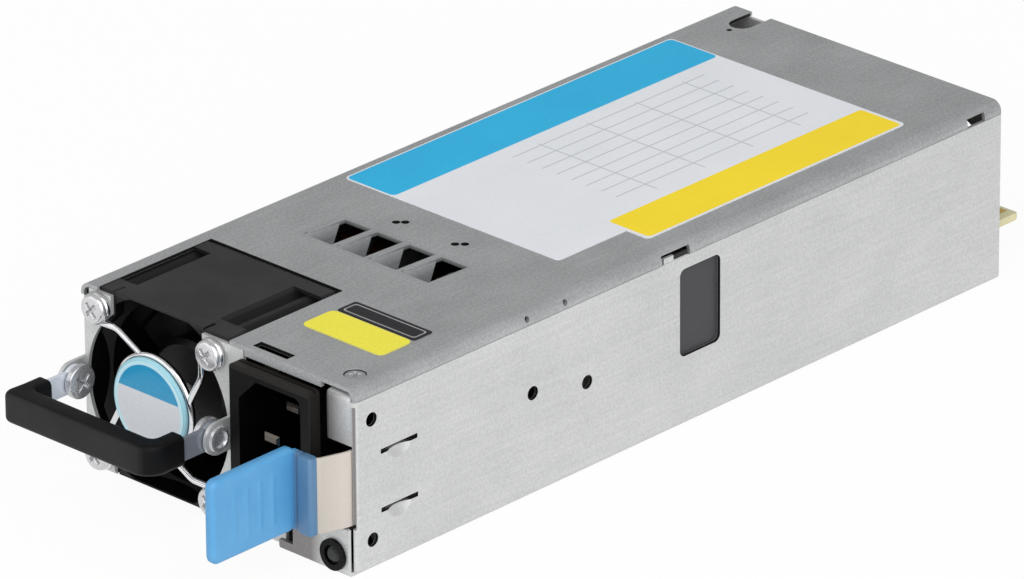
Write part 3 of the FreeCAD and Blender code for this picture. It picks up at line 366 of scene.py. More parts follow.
def plain_film(name, colour, rim, low, high, border, roughness=0.36, inset=None, **shader):
    """Small film between the corners low and high, with a rim of that border in its own colour. With an
    inset, the rim starts that far inside the edge, so that it is a line round the film."""
    corner = 0.7
    finish = Finish(name, colour, roughness, **shader)
    fibre = finish.noise(0.7, 3.0)
    ink = finish.mix(fibre, colour, darker(colour, 0.93))
    edge = finish.mix(fibre, rim, darker(rim, 0.94))

    def within(margin):
        """1 inside the film's outline drawn in by the margin."""
        return rounded_plate(finish, [a + margin for a in low], [b - margin for b in high], corner)

    printed = within(border)
    if inset:
        printed = printed + 1.0 - within(inset)
    finish.put("Base Color", finish.mix(printed, edge, ink))
    finish.put("Roughness", roughness + fibre * 0.06)
    finish.bump(fibre, 0.01)
    return finish.material


def disc_film(name, radius, roughness):
    """Round film on the guard: blue above a line over its middle, white below, and a pale rim."""
    split, rim_width, rim_edge = 2.6, 0.8, 0.65
    finish = Finish(name, tone(70, 150, 195), roughness, Coat_Weight=0.3, Coat_Roughness=0.12)
    fibre = finish.noise(0.5, 3.0)
    across = finish.x - FAN[0]
    up = finish.z - FAN[2]
    distance = (across * across + up * up).root()
    blue = finish.mix(fibre, tone(0, 146, 190), tone(0, 132, 180))
    white = finish.mix(fibre, tone(206, 210, 214), tone(196, 200, 206))
    face = finish.mix((up - split).step(-0.08, 0.08), white, blue)
    rim = distance.step(radius - rim_width, radius - rim_edge)
    finish.put("Base Color", finish.mix(rim, face, tone(186, 222, 232)))
    finish.put("Roughness", roughness + fibre * 0.08)
    finish.bump(fibre, 0.008)
    return finish.material


# each finish: what makes it, and its own colours and measures
FINISHES = {
    "case_steel": (steel, dict(light=tone(214, 215, 214), dark=tone(188, 189, 189), roughness=0.40,
                               speckle=0.7, cut_edge=wall_cuts_and_painted_shade, tint=lip_painted_shade)),
    # the cover's steel is painted darker than the case's, as painted shade on the top
    "cover_steel": (steel, dict(light=tone(186, 188, 189), dark=tone(151, 153, 154), roughness=0.42,
                                speckle=0.8, cut_edge=cover_cuts, tint=vent_painted_shade)),
    "spring_steel": (steel, dict(light=tone(213, 205, 197), dark=tone(200, 192, 184), roughness=0.34,
                                 speckle=0.12, metallic=0.45, tint=strip_painted_shade)),
    "arm_steel": (steel, dict(light=tone(238, 244, 252), dark=tone(220, 226, 236), roughness=0.30,
                              speckle=0.3, metallic=0.5, tint=arm_painted_shade)),
    "aluminium": (steel, dict(light=tone(196, 198, 202), dark=tone(172, 174, 178), roughness=0.36,
                              speckle=0.4, metallic=0.8)),
    "bright_steel": (bright, dict(colour=tone(226, 226, 228), roughness=0.16)),
    "screw_steel": (bright, dict(colour=tone(214, 214, 216), roughness=0.26, metallic=0.75)),
    "dull_steel": (bright, dict(colour=tone(158, 160, 162), roughness=0.48, metallic=0.45)),
    "pivot_steel": (bright, dict(colour=tone(196, 197, 200), roughness=0.26, metallic=0.7)),
    # pins painted dark, as painted shade for the dark surroundings their faces reflect
    "pin_nickel": (bright, dict(colour=tone(104, 98, 92), roughness=0.26)),
    "brass": (bright, dict(colour=tone(212, 190, 130), roughness=0.22)),
    "gold": (bright, dict(colour=tone(222, 184, 96), roughness=0.24)),
    "copper": (bright, dict(colour=tone(128, 84, 54), roughness=0.36)),
    "black_plastic": (moulded, dict(colour=tone(3, 3, 4), worn=tone(8, 8, 9), roughness=0.40,
                                    Specular_IOR_Level=0.12)),
    "inlet_plastic": (moulded, dict(colour=tone(4, 4, 5), worn=tone(10, 9, 9), roughness=0.36,
                                    patch=inlet_painted_light, Specular_IOR_Level=0.12)),
    "fan_plastic": (moulded, dict(colour=tone(4, 4, 5), worn=tone(8, 8, 9), roughness=0.38, grain=0.3,
                                  patch=fan_top_painted_light, Specular_IOR_Level=0.25)),
    "blade_plastic": (moulded, dict(colour=tone(9, 8, 8), worn=tone(15, 13, 12), roughness=0.30, grain=0.4,
                                    Specular_IOR_Level=0.35)),
    "grip_plastic": (moulded, dict(colour=tone(8, 8, 9), worn=tone(14, 14, 15), roughness=0.44, grain=0.3,
                                   depth=0.02, patch=grip_front_painted_light, Specular_IOR_Level=0.12)),
    "blue_plastic": (moulded, dict(colour=tone(74, 144, 194), worn=tone(88, 156, 203), roughness=0.38,
                                   grain=0.35, depth=0.008, patch=tab_painted_shade)),
    "disc_plastic": (moulded, dict(colour=tone(142, 192, 208), worn=tone(160, 204, 216), roughness=0.38)),
    "lens": (moulded, dict(colour=tone(22, 24, 23), worn=tone(34, 36, 35), roughness=0.12,
                           Specular_IOR_Level=0.4)),
    "board": (moulded, dict(colour=tone(36, 84, 52), worn=tone(46, 98, 60), roughness=0.44, grain=0.5)),
    "card_edge": (moulded, dict(colour=tone(206, 200, 160), worn=tone(220, 212, 170), roughness=0.45,
                                grain=0.4)),
    "sheet_plastic": (moulded, dict(colour=tone(210, 208, 196), worn=tone(222, 220, 210), roughness=0.30,
                                    grain=0.6)),
    "wire_cover": (moulded, dict(colour=tone(52, 52, 54), worn=tone(74, 74, 76), roughness=0.42, grain=0.3)),
    "ferrite": (moulded, dict(colour=tone(52, 54, 54), worn=tone(70, 72, 72), roughness=0.62, grain=0.4,
                              depth=0.03)),
    "magnet": (moulded, dict(colour=tone(48, 44, 42), worn=tone(60, 56, 54), roughness=0.55, grain=0.4)),
    "can": (moulded, dict(colour=tone(28, 30, 40), worn=tone(40, 42, 54), roughness=0.30, grain=0.6)),
    "component_plastic": (moulded, dict(colour=tone(44, 44, 46), worn=tone(58, 58, 60), roughness=0.48)),
    "fuse_body": (moulded, dict(colour=tone(206, 196, 170), worn=tone(222, 212, 190), roughness=0.25,
                                grain=0.6)),
    "rating_film": (rating_film, dict(roughness=0.30)),
    "disc_film": (disc_film, dict(radius=9.3, roughness=0.32)),
    "window_film": (plain_film, dict(colour=tone(62, 62, 65), rim=tone(62, 62, 65), low=(-50, -50),
                                     high=(50, 50), border=0.0, roughness=0.42, Specular_IOR_Level=0.3)),
    "yellow_film": (plain_film, dict(colour=tone(238, 228, 56), rim=tone(226, 218, 84), low=(8.4, -78.2),
                                     high=(29.8, -69.2), border=0.25)),
    "black_film": (plain_film, dict(colour=tone(20, 19, 24), rim=tone(158, 156, 158), low=(9.0, -68.9),
                                    high=(29.6, -63.6), border=1.05, inset=0.75, Specular_IOR_Level=0.2)),
}

# nodes whose finish isn't named as their slot in the record
NODE_FINISH = {
    "top_cover": "cover_steel", "handle_arms": "arm_steel", "fan_frame": "fan_plastic",
    "fan_rotor": "blade_plastic", "output_card": "card_edge", "inlet_body": "inlet_plastic",
    "inlet_line_pin": "pin_nickel", "inlet_neutral_pin": "pin_nickel", "inlet_earth_pin": "pin_nickel",
    "rating_label": "rating_film", "disc_label": "disc_film", "window_film": "window_film",
}
finishes_made = {}


def finish_named(name):
    """The material of that finish, made when it is first asked for."""
    if name not in finishes_made:
        maker, look = FINISHES[name]
        finishes_made[name] = maker(name, **look)
    return finishes_made[name]


def finish_nodes():
    """Gives every node of the frame its finish: the one listed for it, or else the record's slot."""
    slots = {part["node"]: part["material_slot"] for part in frame["record"]["subparts"]}
    for name, thing in frame["nodes"].items():
        thing.data.materials.clear()
        thing.data.materials.append(finish_named(NODE_FINISH.get(name, slots[name])))


# ======== smooth surfaces, in millimetres ========

MERGE_DISTANCE = 0.002
SHARP_ANGLE = math.radians(38)


def skin(grid, ring=False):
    """Corners and four-cornered faces over a grid of points. Columns run round the section and always close.
    Rows run along the path: they close in a ring, and otherwise both ends are drawn in to their middles."""
    if not ring:
        ends = [np.broadcast_to(row.mean(axis=0), row.shape)[None] for row in (grid[0], grid[-1])]
        grid = np.concatenate([ends[0], grid, ends[1]])
    rows, columns = grid.shape[:2]
    row = np.arange(rows if ring else rows - 1)[:, None] * columns
    after = (row + columns) % (rows * columns)
    column = np.arange(columns)[None, :]
    beside = (column + 1) % columns
    faces = np.stack([row + column, row + beside, after + beside, after + column], axis=-1)
    return grid.reshape(-1, 3), faces.reshape(-1, 4)


def piece(name, skins, finish, body, nodes):
    """Makes one object in metres from several skins in millimetres, with doubles merged, faces turned
    outwards and soft shading. It rides on the body, stands for the nodes and takes the named finish."""
    starts = np.cumsum([0] + [len(corners) for corners, _ in skins[:-1]])
    corners = np.concatenate([part[0] for part in skins]) * MM
    faces = np.concatenate([part[1] + start for part, start in zip(skins, starts)])
    mesh = bpy.data.meshes.new(name)
    mesh.from_pydata(corners.tolist(), [], faces.tolist())
    form = bmesh.new()
    form.from_mesh(mesh)
    bmesh.ops.remove_doubles(form, verts=form.verts, dist=MERGE_DISTANCE * MM)
    bmesh.ops.recalc_face_normals(form, faces=form.faces)
    form.to_mesh(mesh)
    form.free()
    mesh.shade_smooth()
    mesh.set_sharp_from_angle(angle=SHARP_ANGLE)
    mesh.materials.append(finish_named(finish))
    thing = bpy.data.objects.new(name, mesh)
    bpy.context.collection.objects.link(thing)
    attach(thing, body)
    if nodes:
        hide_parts(*nodes)


def arc(centre, radius, first, last, count, plane=(AXIS_X, AXIS_Z)):
    """Points on a circle: centre plus radius times the cosine and sine of the angle along the plane's two
    axes, for count angles from first to last degrees."""
    angle = np.radians(np.linspace(first, last, count))[:, None]
    return np.asarray(centre) + radius * (np.cos(angle) * plane[0] + np.sin(angle) * plane[1])


def rounded_outline(half_w, half_h, radius, steps=6, side=1):
    """Rounded rectangle: four quarter circles of that radius, joined by sides of that many equal parts."""
    corners = []
    for index, (x, y) in enumerate(((1, 1), (-1, 1), (-1, -1), (1, -1))):
        middle = np.array([x * (half_w - radius), y * (half_h - radius)])
        angle = np.radians(90 * index + np.linspace(0, 90, steps))[:, None]
        corners.append(middle + radius * np.concatenate([np.cos(angle), np.sin(angle)], axis=1))
    lines = []
    for corner, following in zip(corners, corners[1:] + corners[:1]):
        share = np.linspace(0, 1, side + 1)[1:-1, None]
        lines += [corner, corner[-1] + (following[0] - corner[-1]) * share]
    return np.concatenate(lines)


def round_profile(radius, count=20):
    """Circle about the path."""
    angle = np.linspace(0, 2 * np.pi, count, endpoint=False)[:, None]
    return radius * np.concatenate([np.cos(angle), np.sin(angle)], axis=1)


def sweep(path, profile, up, ring=False, size=None):
    """A profile carried along a path. Each point is the path's point, plus the profile's first number times
    the side, plus its second times up. The side is the heading's cross product with up, of length 1. size
    scales each section."""
    heading = np.roll(path, -1, axis=0) - np.roll(path, 1, axis=0)
    if not ring:
        heading[0], heading[-1] = path[1] - path[0], path[-1] - path[-2]
    side = np.cross(heading, up)
    side = side / np.linalg.norm(side, axis=1, keepdims=True)
    scale = np.ones(len(path)) if size is None else size
    across = side[:, None] * profile[None, :, :1] + up * profile[None, :, 1:]
    return path[:, None] + across * scale[:, None, None]


def wire(path, radius, up):
    """Round wire with its ends rounded over. In an end's five sections an angle runs up to a quarter turn:
    the section's size is its sine, and its place along the wire moves with its cosine."""
    tip_length = 0.45 * radius
    quarter = np.radians(np.linspace(8, 90, 5))
    reach = tip_length * (1 - np.cos(quarter))[::-1]
    start = (path[1] - path[0]) / np.linalg.norm(path[1] - path[0])
    stop = (path[-1] - path[-2]) / np.linalg.norm(path[-1] - path[-2])
    head = path[0] + start * (reach[0] - reach)[:, None]
    tail = path[-1] - stop * (reach[0] - reach)[:, None][::-1]
    size = np.concatenate([np.sin(quarter), np.ones(len(path) - 2), np.sin(quarter)[::-1]])
    return skin(sweep(np.concatenate([head, path[1:-1], tail]), round_profile(radius), up, size=size))


def side_axes(axis):
    """Two directions at right angles to the axis and to each other."""
    across = AXIS_Z if abs(axis[2]) < 0.5 else AXIS_X
    return across, np.cross(axis, across)


def lathe(profile, centre, axis, count=72):
    """Profile of radius and height turned round an axis: centre, plus the height along the axis, plus the
    radius times the cosine and sine of the turn across it."""
    across, other = side_axes(axis)
    angle = np.linspace(0, 2 * np.pi, count, endpoint=False)[None, :, None]
    radius = profile[:, 0][:, None, None]
    height = profile[:, 1][:, None, None]
    return centre + height * axis + radius * (np.cos(angle) * across + np.sin(angle) * other)


def soft_step(value, low, high):
    """0 below low, 1 above high, and between them three times the share squared less twice its cube."""
    share = np.clip((value - low) / (high - low), 0, 1)
    return share * share * (3 - 2 * share)


def screw_head(centre, axis, radius, height, crown, cross, depth, under=0.0):
    """Screw head on its seat: sides that start under the seat, a shoulder rounded by the crown, a face domed
    as a parabola, and a cross recess. The recess is a depth times the larger of two soft bars at right
    angles, each a product of soft steps in the two directions; cross is the bars' reach from the middle."""
    dome = 0.06 * radius
    foot_in, foot_up = 0.15, 0.1
    bar_core, bar_edge, bar_end = 0.22, 0.46, 0.2
    recess_floor, recess_face = 0.3, 0.05
    shoulder = np.radians(np.linspace(0, 90, 8))
    rim = np.stack([radius - crown + crown * np.cos(shoulder),
                    height - crown + crown * np.sin(shoulder)], axis=1)
    inward = np.linspace(radius - crown, 0.0, 34)[1:]
    face = np.stack([inward, height + dome * (1 - (inward / (radius - crown)) ** 2)], axis=1)
    profile = np.concatenate([[[radius - foot_in, -under], [radius, foot_up - under]], rim, face])
    grid = lathe(profile, centre, axis, 96)
    across, other = side_axes(axis)
    offset = grid - centre
    first = (offset @ across + offset @ other) / math.sqrt(2)
    second = (offset @ across - offset @ other) / math.sqrt(2)
    bars = [(1 - soft_step(np.abs(along), cross - bar_end, cross))
            * (1 - soft_step(np.abs(beside), bar_core, bar_edge))
            for along, beside in ((first, second), (second, first))]
    near_face = soft_step(offset @ axis, height - recess_floor, height - recess_face)
    dent = depth * np.maximum(*bars) * near_face
    return skin(grid - dent[..., None] * axis)


# ======== pieces ========

def turned_about_fan(points, quarter):
    """Points turned by quarter turns about the fan's axis, clockwise from the front."""
    angle = math.radians(90 * quarter)
    x, z = points[:, 0] - FAN[0], points[:, 2] - FAN[2]
    return np.stack([FAN[0] + x * math.cos(angle) + z * math.sin(angle), points[:, 1],
                     FAN[2] - x * math.sin(angle) + z * math.cos(angle)], axis=1)


def finger_guard():
    """Welded wire guard. The ring is a circle. Each arm is most of a turn round its screw, a straight run, an
    eased bend and a slope that meets the ring at a tangent."""
    ring_radius, ring_wire, ring_forward = 10.0, 0.75, 0.1
    loop_radius, run, bend_radius, slope_angle, slope_length = 2.65, 4.6, 4.0, 28.5, 6.7
    plane = FRONT - WIRE
    ring = arc(FAN + AXIS_Y * (plane - ring_forward), ring_radius, 0, 360, 121)[:-1]
    skins = [skin(sweep(ring, round_profile(ring_wire), AXIS_Y, ring=True), ring=True)]
    half = SCREW_PITCH / 2
    screw = FAN + np.array([-half, plane, half])
    loop = arc(screw, loop_radius, -15, 270, 60)
    run_end = loop[-1] + AXIS_X * run
    bend = arc(run_end - AXIS_Z * bend_radius, bend_radius, 90, 90 - slope_angle, 10)
    slope = np.array([math.cos(math.radians(slope_angle)), 0, -math.sin(math.radians(slope_angle))])
    foot = bend[-1] + slope * slope_length
    path = np.concatenate([loop, loop[-1:] + AXIS_X * (run / 2), bend, foot[None]])
    skins += [wire(turned_about_fan(path, quarter), WIRE, AXIS_Y) for quarter in range(4)]
    piece("finger_guard_wires", skins, "bright_steel", "case", ["finger_guard"])


def fan_screws():
    """Pan-head screws with cross recesses, seated on the guard's loops, with their shanks behind them."""
    shank = np.array([[1.43, 0.0], [1.43, 13.4], [1.1, 13.9]])
    sunk = 0.5
    seat = FRONT - 2 * WIRE
    skins = []
    for across in (-0.5, 0.5):
        for up in (-0.5, 0.5):
            place = FAN + np.array([across * SCREW_PITCH, seat, up * SCREW_PITCH])
            skins.append(screw_head(place + AXIS_Y * sunk, -AXIS_Y, radius=3.1, height=1.5, crown=0.8,
                                    cross=1.8, depth=0.95))
            skins.append(skin(lathe(shank, place, AXIS_Y, 24)))
    piece("fan_screw_heads", skins, "screw_steel", "case", ["fan_screws"])


def pivot_screws():
    """Shoulder screws of the handle: cross-recessed heads inside the ears, pins through them, and a peened
    end with a hollow middle on the right ear's face."""
    pivot = np.array([0.0, -96.3, 19.8])
    left_head, right_head, ear_face = -34.35, 1.55, 3.95
    head = {"radius": 3.5, "height": 1.35, "crown": 0.35, "cross": 2.1, "depth": 0.8}
    pin_radius = 1.5
    pin = np.array([[pin_radius, 0.0], [pin_radius, 1.0]])
    left = [screw_head(pivot + AXIS_X * left_head, AXIS_X, **head),
            skin(lathe(pin * (1, left_head + CASE_HALF_WIDTH), pivot - AXIS_X * CASE_HALF_WIDTH, AXIS_X, 32))]
    right = [screw_head(pivot + AXIS_X * right_head, -AXIS_X, **head),
             skin(lathe(pin * (1, ear_face - right_head), pivot + AXIS_X * right_head, AXIS_X, 32))]
    peened = np.array([[1.5, -0.2], [2.6, 0.0], [2.75, 0.25], [2.55, 0.72], [2.2, 0.86], [1.75, 0.78],
                       [1.5, 0.4], [1.4, 0.1]])
    right.append(skin(lathe(peened, pivot + AXIS_X * ear_face, AXIS_X, 64)))
    piece("pivot_screw_heads", left + right, "pivot_steel", "case", ["pivot_screws"])


# an edge of the grip in plan: X of the left leg, centre and radius of the left corner, centre and radius of
# the right corner, X of the right leg
GRIP_OUTER = (-36.5, (-34.9, -112.9, 0), 1.6, (-1.4, -109.5, 0), 5.0, 3.6)
GRIP_INNER = (-32.5, (-31.3, -108.3, 0), 1.2, (-1.6, -108.3, 0), 1.2, -0.4)


def grip_rail(left, left_corner, left_radius, right_corner, right_radius, right):
    """One edge of the grip in plan, point for point with the other: forward along the left leg, round a
    corner, along the front bar, round the other corner and back along the right leg."""
    leg = np.linspace(-105.0, -109.0, 5)[:, None]
    share = np.linspace(0.0, 1.0, 30)[1:-1, None]
    first = arc(left_corner, left_radius, 180, 270, 14, PLAN)
    second = arc(right_corner, right_radius, 270, 360, 14, PLAN)
    bar = first[-1] + (second[0] - first[-1]) * share
    return np.concatenate([np.array([left, 0, 0]) + AXIS_Y * leg, first, bar, second,
                           np.array([right, 0, 0]) + AXIS_Y * leg[::-1]])


def handle_grip():
    """Moulded grip: at each pair of points on the two rails stands a rounded rectangle, as wide as the rails
    are apart and as high as the grip. A point on a side of the unit section is scaled to the straight part
    of that side, and a point on its corner to the edge's radius."""
    low, high, edge, corner = 16.7, 23.2, 1.15, 0.5

    def spread(unit, reach):
        """One coordinate of the unit section carried out to that reach."""
        side = np.sign(unit)
        rounded = side * (reach - edge) + (unit - side * corner) * 2 * edge
        straight = unit * 2 * (reach - edge)
        return np.where(np.abs(unit) < corner - 1e-6, straight, rounded)

    outer, inner = grip_rail(*GRIP_OUTER), grip_rail(*GRIP_INNER)
    half = np.linalg.norm(outer - inner, axis=1) / 2
    across = (outer - inner) / (2 * half[:, None])
    section = rounded_outline(1.0, 1.0, corner, 7, 2)
    width = spread(section[None, :, 0], half[:, None])
    grid = ((outer + inner) / 2)[:, None] + across[:, None] * width[..., None]
    grid[..., 2] = (low + high) / 2 + spread(section[None, :, 1], (high - low) / 2)
    piece("grip_moulding", [skin(grid)], "grip_plastic", "handle", ["handle_grip"])


def tab_plate():
    """Finger plate of the release tab: a rounded outline in Y and Z drawn in at each face by a quarter
    circle, then shrunk to its middle. Soft ribs stand on both faces: a rib is a bell curve along Y."""
    middle = (np.array([25.5, -121.8, 9.6]) + np.array([28.0, -99.4, 27.1])) / 2
    half_x, half_y, half_z = 1.25, 11.2, 8.75
    edge, corner = 0.95, 1.7
    rib_places, rib_width, rib_height = (-116.0, -112.6, -109.2, -105.8), 0.55, 0.12
    rib_bottom, rib_top = (12.2, 13.6), (22.4, 23.8)
    quarter = np.radians(np.linspace(0, 90, 7))
    shrink = np.linspace(1, 0.0, 26)[1:-1]
    rows = []
    for side in (1, -1):
        part = [(edge, side * half_x, share) for share in shrink[::-1]]
        part += [(edge * (1 - np.sin(q)), side * (half_x - edge + edge * np.cos(q)), 1.0) for q in quarter]
        rows += part if side == 1 else part[::-1][1:]
    grids = []
    for inset, x, scale in rows:
        line = rounded_outline(half_y - inset, half_z - inset, corner - inset * 0.6, 6, 60) * scale
        grids.append(np.stack([np.full(len(line), x), line[:, 0], line[:, 1]], axis=1))
    grid = np.stack(grids) + middle
    ribs = sum(np.exp(-((grid[..., 1] - place) / rib_width) ** 2) for place in rib_places)
    ends = soft_step(grid[..., 2], *rib_bottom) * (1 - soft_step(grid[..., 2], *rib_top))
    grid[..., 0] += rib_height * ribs * ends * np.sign(grid[..., 0] - middle[0])
    return skin(grid)


def upright_block(low, high, radius):
    """Upright block between two corners: a rounded outline in X and Y, drawn in near its bottom and top."""
    ease = ((0.5, 0.0), (0.15, 0.15), (0.0, 0.5))  # how far the outline is drawn in, that far from an end
    low, high = np.array(low), np.array(high)
    half = (high - low) / 2
    rows = []
    for inset, z in ([(inset, -half[2] + rise) for inset, rise in ease]
                     + [(inset, half[2] - rise) for inset, rise in ease[::-1]]):
        line = rounded_outline(half[0] - inset, half[1] - inset, radius)
        rows.append(np.stack([line[:, 0], line[:, 1], np.full(len(line), z)], axis=1))
    return skin(np.stack(rows) + (low + high) / 2)


def release_tab():
    """Blue release tab: finger plate, neck and the foot that is clipped on the strip."""
    neck = upright_block((26.9, -100.7, 10.1), (29.9, -98.95, 26.5), 0.4)
    foot = upright_block((29.6, -101.3, 10.1), (33.4, -98.9, 26.5), 0.75)
    piece("release_tab", [tab_plate(), neck, foot], "blue_plastic", "latch", ["latch_tab"])


def latch_strip():
    """Spring strip: a thin upright section carried along the wall, round an easy bend and across to the tab.
    Beside its two windows the strip is two bars."""
    half_thick, corner = 0.3, 0.12
    wall_x, easy, tight = 35.5, 14.0, 1.7
    bottom, top, low_bar, high_bar = 10.4, 26.2, (12.5, 20.0), (24.8, 26.2)
    bends = np.concatenate([
        np.array([[wall_x, -87.0, 0], [wall_x, -90.6, 0]]),
        arc((wall_x - easy, -91.0, 0), easy, 0, -14, 8, PLAN),
        arc((32.0, -97.9, 0), tight, -14, -83, 12, PLAN),
        np.array([[28.4, -99.95, 0]])])
    root = np.array([[wall_x, -69.9, 0], [wall_x, -74.5, 0]])
    bar = np.array([[wall_x, -74.2, 0], [wall_x, -87.3, 0]])
    skins = []
    for path, low, high in ((bends, bottom, top), (root, bottom, top), (bar, *low_bar), (bar, *high_bar)):
        profile = rounded_outline(half_thick, (high - low) / 2, corner, 4)
        skins.append(skin(sweep(path + AXIS_Z * (low + high) / 2, profile, AXIS_Z)))
    piece("latch_strip", skins, "spring_steel", "latch", ["latch_spring"])


def cover_screw():
    """Countersunk screw flush in the cover's dimple, and its shank."""
    seat = np.array([31.6, -87.0, 37.75])
    shank = np.array([[2.1, 0.62], [1.3, 0.0], [1.25, -4.6]])
    skins = [screw_head(seat, AXIS_Z, radius=2.15, height=1.05, crown=0.25, cross=1.3, depth=0.6, under=-0.6),
             skin(lathe(shank, seat, AXIS_Z, 32))]
    piece("cover_screw_head", skins, "dull_steel", "case", ["cover_screw"])


def guard_disc():
    """Moulded disc in the guard's ring: a stepped profile with a rounded rim, turned round the fan's axis."""
    back = [[9.1, -0.7], [9.1, -1.6], [9.75, -1.6], [9.9, -1.72]]
    rim_radius, rim_height, ease = 9.4, -1.9, 0.5
    turn = np.radians(np.linspace(0, 90, 8))
    rim = np.stack([rim_radius + ease * np.cos(turn), rim_height - ease * np.sin(turn)], axis=1)
    profile = np.concatenate([back, rim])
    disc = skin(lathe(profile, FAN + AXIS_Y * FRONT, AXIS_Y, 120))
    piece("disc_moulding", [disc], "disc_plastic", "case", ["guard_disc"])


def fan_walls():
    """Thin straight walls that close the fan housing's four sides in front of its flared mouth. At each place
    along a side, the wall reaches from the housing's flat outside in to a chord or to the mouth's circle,
    whichever is nearer the middle, with a slightly rounded front edge."""
    mouth, chord, reach = 20.6, 19.0, 12.0
    half_height, half_width = 19.43, 19.65
    front, rear, ease = -91.7, -86.5, 0.15
    across = np.linspace(-reach, reach, 61)
    inner = np.minimum(chord, np.sqrt(mouth ** 2 - across ** 2))
    depth = np.array([rear, front + ease, front, front, front + ease, rear])
    lift = np.array([0.0, 0.0, ease, -ease, 0.0, 0.0])
    skins = []
    for out, half in ((AXIS_Z, half_height), (-AXIS_Z, half_height),
                      (AXIS_X, half_width), (-AXIS_X, half_width)):
        height = np.where(np.arange(len(depth)) < 3, inner[:, None] + lift, half + lift)
        grid = FAN + across[:, None, None] * out[::-1] + depth[:, None] * AXIS_Y + height[:, :, None] * out
        skins.append(skin(grid))
    piece("fan_frame_walls", skins, "fan_plastic", "case", [])


# ======== light and camera, in metres ========

FLOOR_HALF = 6.0
FLOOR_COLOUR = (0.88, 0.88, 0.88, 1.0)
FLOOR_ROUGHNESS = 0.9
FLOOR_GLOW = 0.93
WORLD_SEEN = 1.0
WORLD_LIGHT = 0.62
LAMP_AIM = (0, 0, 0.02)

CAMERA_AZIMUTH = math.radians(43.669)
CAMERA_ELEVATION = math.radians(24.638)
CAMERA_ROLL = math.radians(-0.381)
CAMERA_DISTANCE = 2.01383
CAMERA_SHIFT = (0.007514, 0.001946)
CAMERA_TARGET = Vector((0.0, 0.0, 0.0195))
CAMERA_LENS = 359.7
CAMERA_CLIP_END = 30.0


def studio():
    """White floor. To the eye, in reflections and through clear pieces it mostly glows, and the rest of it
    keeps a soft shadow. As a light it is a plain pale card."""
    finish = Finish("floor_card", FLOOR_COLOUR, FLOOR_ROUGHNESS)
    path = finish.tree.nodes.new("ShaderNodeLightPath")
    seen = Value(finish, path.outputs["Is Camera Ray"]).most(Value(finish, path.outputs["Is Glossy Ray"]))
    seen = seen.most(Value(finish, path.outputs["Is Transmission Ray"]))
    glow = finish.tree.nodes.new("ShaderNodeEmission")
    blend = finish.tree.nodes.new("ShaderNodeMixShader")
    finish.tree.links.new((seen * FLOOR_GLOW).socket, blend.inputs[0])
    finish.tree.links.new(finish.shader.outputs["BSDF"], blend.inputs[1])
    finish.tree.links.new(glow.outputs[0], blend.inputs[2])
    finish.tree.links.new(blend.outputs[0], finish.output.inputs["Surface"])
    half = FLOOR_HALF
    mesh = bpy.data.meshes.new("floor")
    corners = [(-half, -half, 0), (half, -half, 0), (half, half, 0), (-half, half, 0)]
    mesh.from_pydata(corners, [], [(0, 1, 2, 3)])
    mesh.materials.append(finish.material)
    floor = bpy.data.objects.new("floor", mesh)
    bpy.context.collection.objects.link(floor)


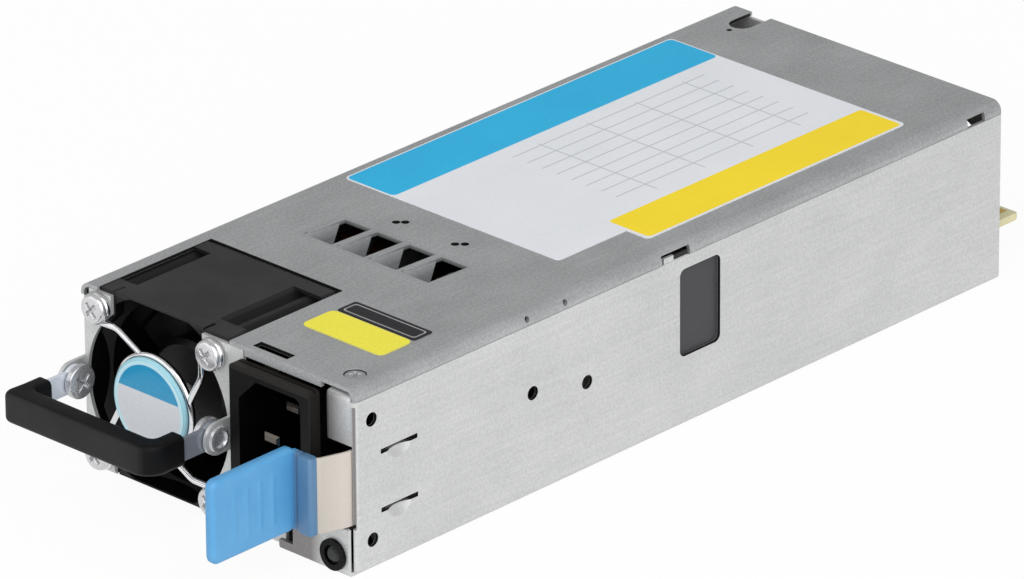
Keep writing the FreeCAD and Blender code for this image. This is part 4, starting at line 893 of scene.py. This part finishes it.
def sky():
    """World: brighter to the eye and through clear pieces, and softer as a light and in reflections."""
    world = bpy.data.worlds.new("studio")
    bpy.context.scene.world = world
    world.use_nodes = True
    tree = world.node_tree
    tree.nodes.clear()
    path = tree.nodes.new("ShaderNodeLightPath")
    shine = tree.nodes.new("ShaderNodeBackground")
    shine.inputs["Strength"].default_value = WORLD_SEEN
    fill = tree.nodes.new("ShaderNodeBackground")
    fill.inputs["Strength"].default_value = WORLD_LIGHT
    either = tree.nodes.new("ShaderNodeMath")
    either.operation = "MAXIMUM"
    tree.links.new(path.outputs["Is Camera Ray"], either.inputs[0])
    tree.links.new(path.outputs["Is Transmission Ray"], either.inputs[1])
    blend = tree.nodes.new("ShaderNodeMixShader")
    output = tree.nodes.new("ShaderNodeOutputWorld")
    tree.links.new(either.outputs[0], blend.inputs[0])
    tree.links.new(fill.outputs[0], blend.inputs[1])
    tree.links.new(shine.outputs[0], blend.inputs[2])
    tree.links.new(blend.outputs[0], output.inputs["Surface"])


def lamp(name, place, size, power):
    """Square soft box of that size at place, aimed at the part."""
    data = bpy.data.lights.new(name, "AREA")
    data.size = size
    data.energy = power
    thing = bpy.data.objects.new(name, data)
    thing.location = place
    thing.rotation_euler = (Vector(LAMP_AIM) - Vector(place)).to_track_quat("-Z", "Y").to_euler()
    bpy.context.collection.objects.link(thing)


def camera():
    """Long lens from the front right and above."""
    around, above = CAMERA_AZIMUTH, CAMERA_ELEVATION
    back = Vector((math.sin(around) * math.cos(above), -math.cos(around) * math.cos(above), math.sin(above)))
    right = Vector((math.cos(around), math.sin(around), 0.0))
    up = back.cross(right)
    turned_right = right * math.cos(CAMERA_ROLL) + up * math.sin(CAMERA_ROLL)
    turned_up = up * math.cos(CAMERA_ROLL) - right * math.sin(CAMERA_ROLL)
    place = CAMERA_TARGET - turned_right * CAMERA_SHIFT[0] - turned_up * CAMERA_SHIFT[1]
    place += back * CAMERA_DISTANCE
    data = bpy.data.cameras.new("camera")
    data.lens = CAMERA_LENS
    data.clip_end = CAMERA_CLIP_END
    thing = bpy.data.objects.new("camera", data)
    thing.matrix_world = Matrix((
        (turned_right.x, turned_up.x, back.x, place.x), (turned_right.y, turned_up.y, back.y, place.y),
        (turned_right.z, turned_up.z, back.z, place.z), (0, 0, 0, 1)))
    bpy.context.collection.objects.link(thing)
    bpy.context.scene.camera = thing


# ======== the scene ========

bpy.context.scene.view_settings.view_transform = "Standard"
finish_nodes()
finger_guard()
fan_screws()
pivot_screws()
handle_grip()
release_tab()
latch_strip()
cover_screw()
guard_disc()
fan_walls()
studio()
sky()
lamp("key", (1.3, -0.9, 1.1), size=2.4, power=40)
lamp("fill", (-0.9, -1.6, 0.8), size=2.0, power=11)
camera()
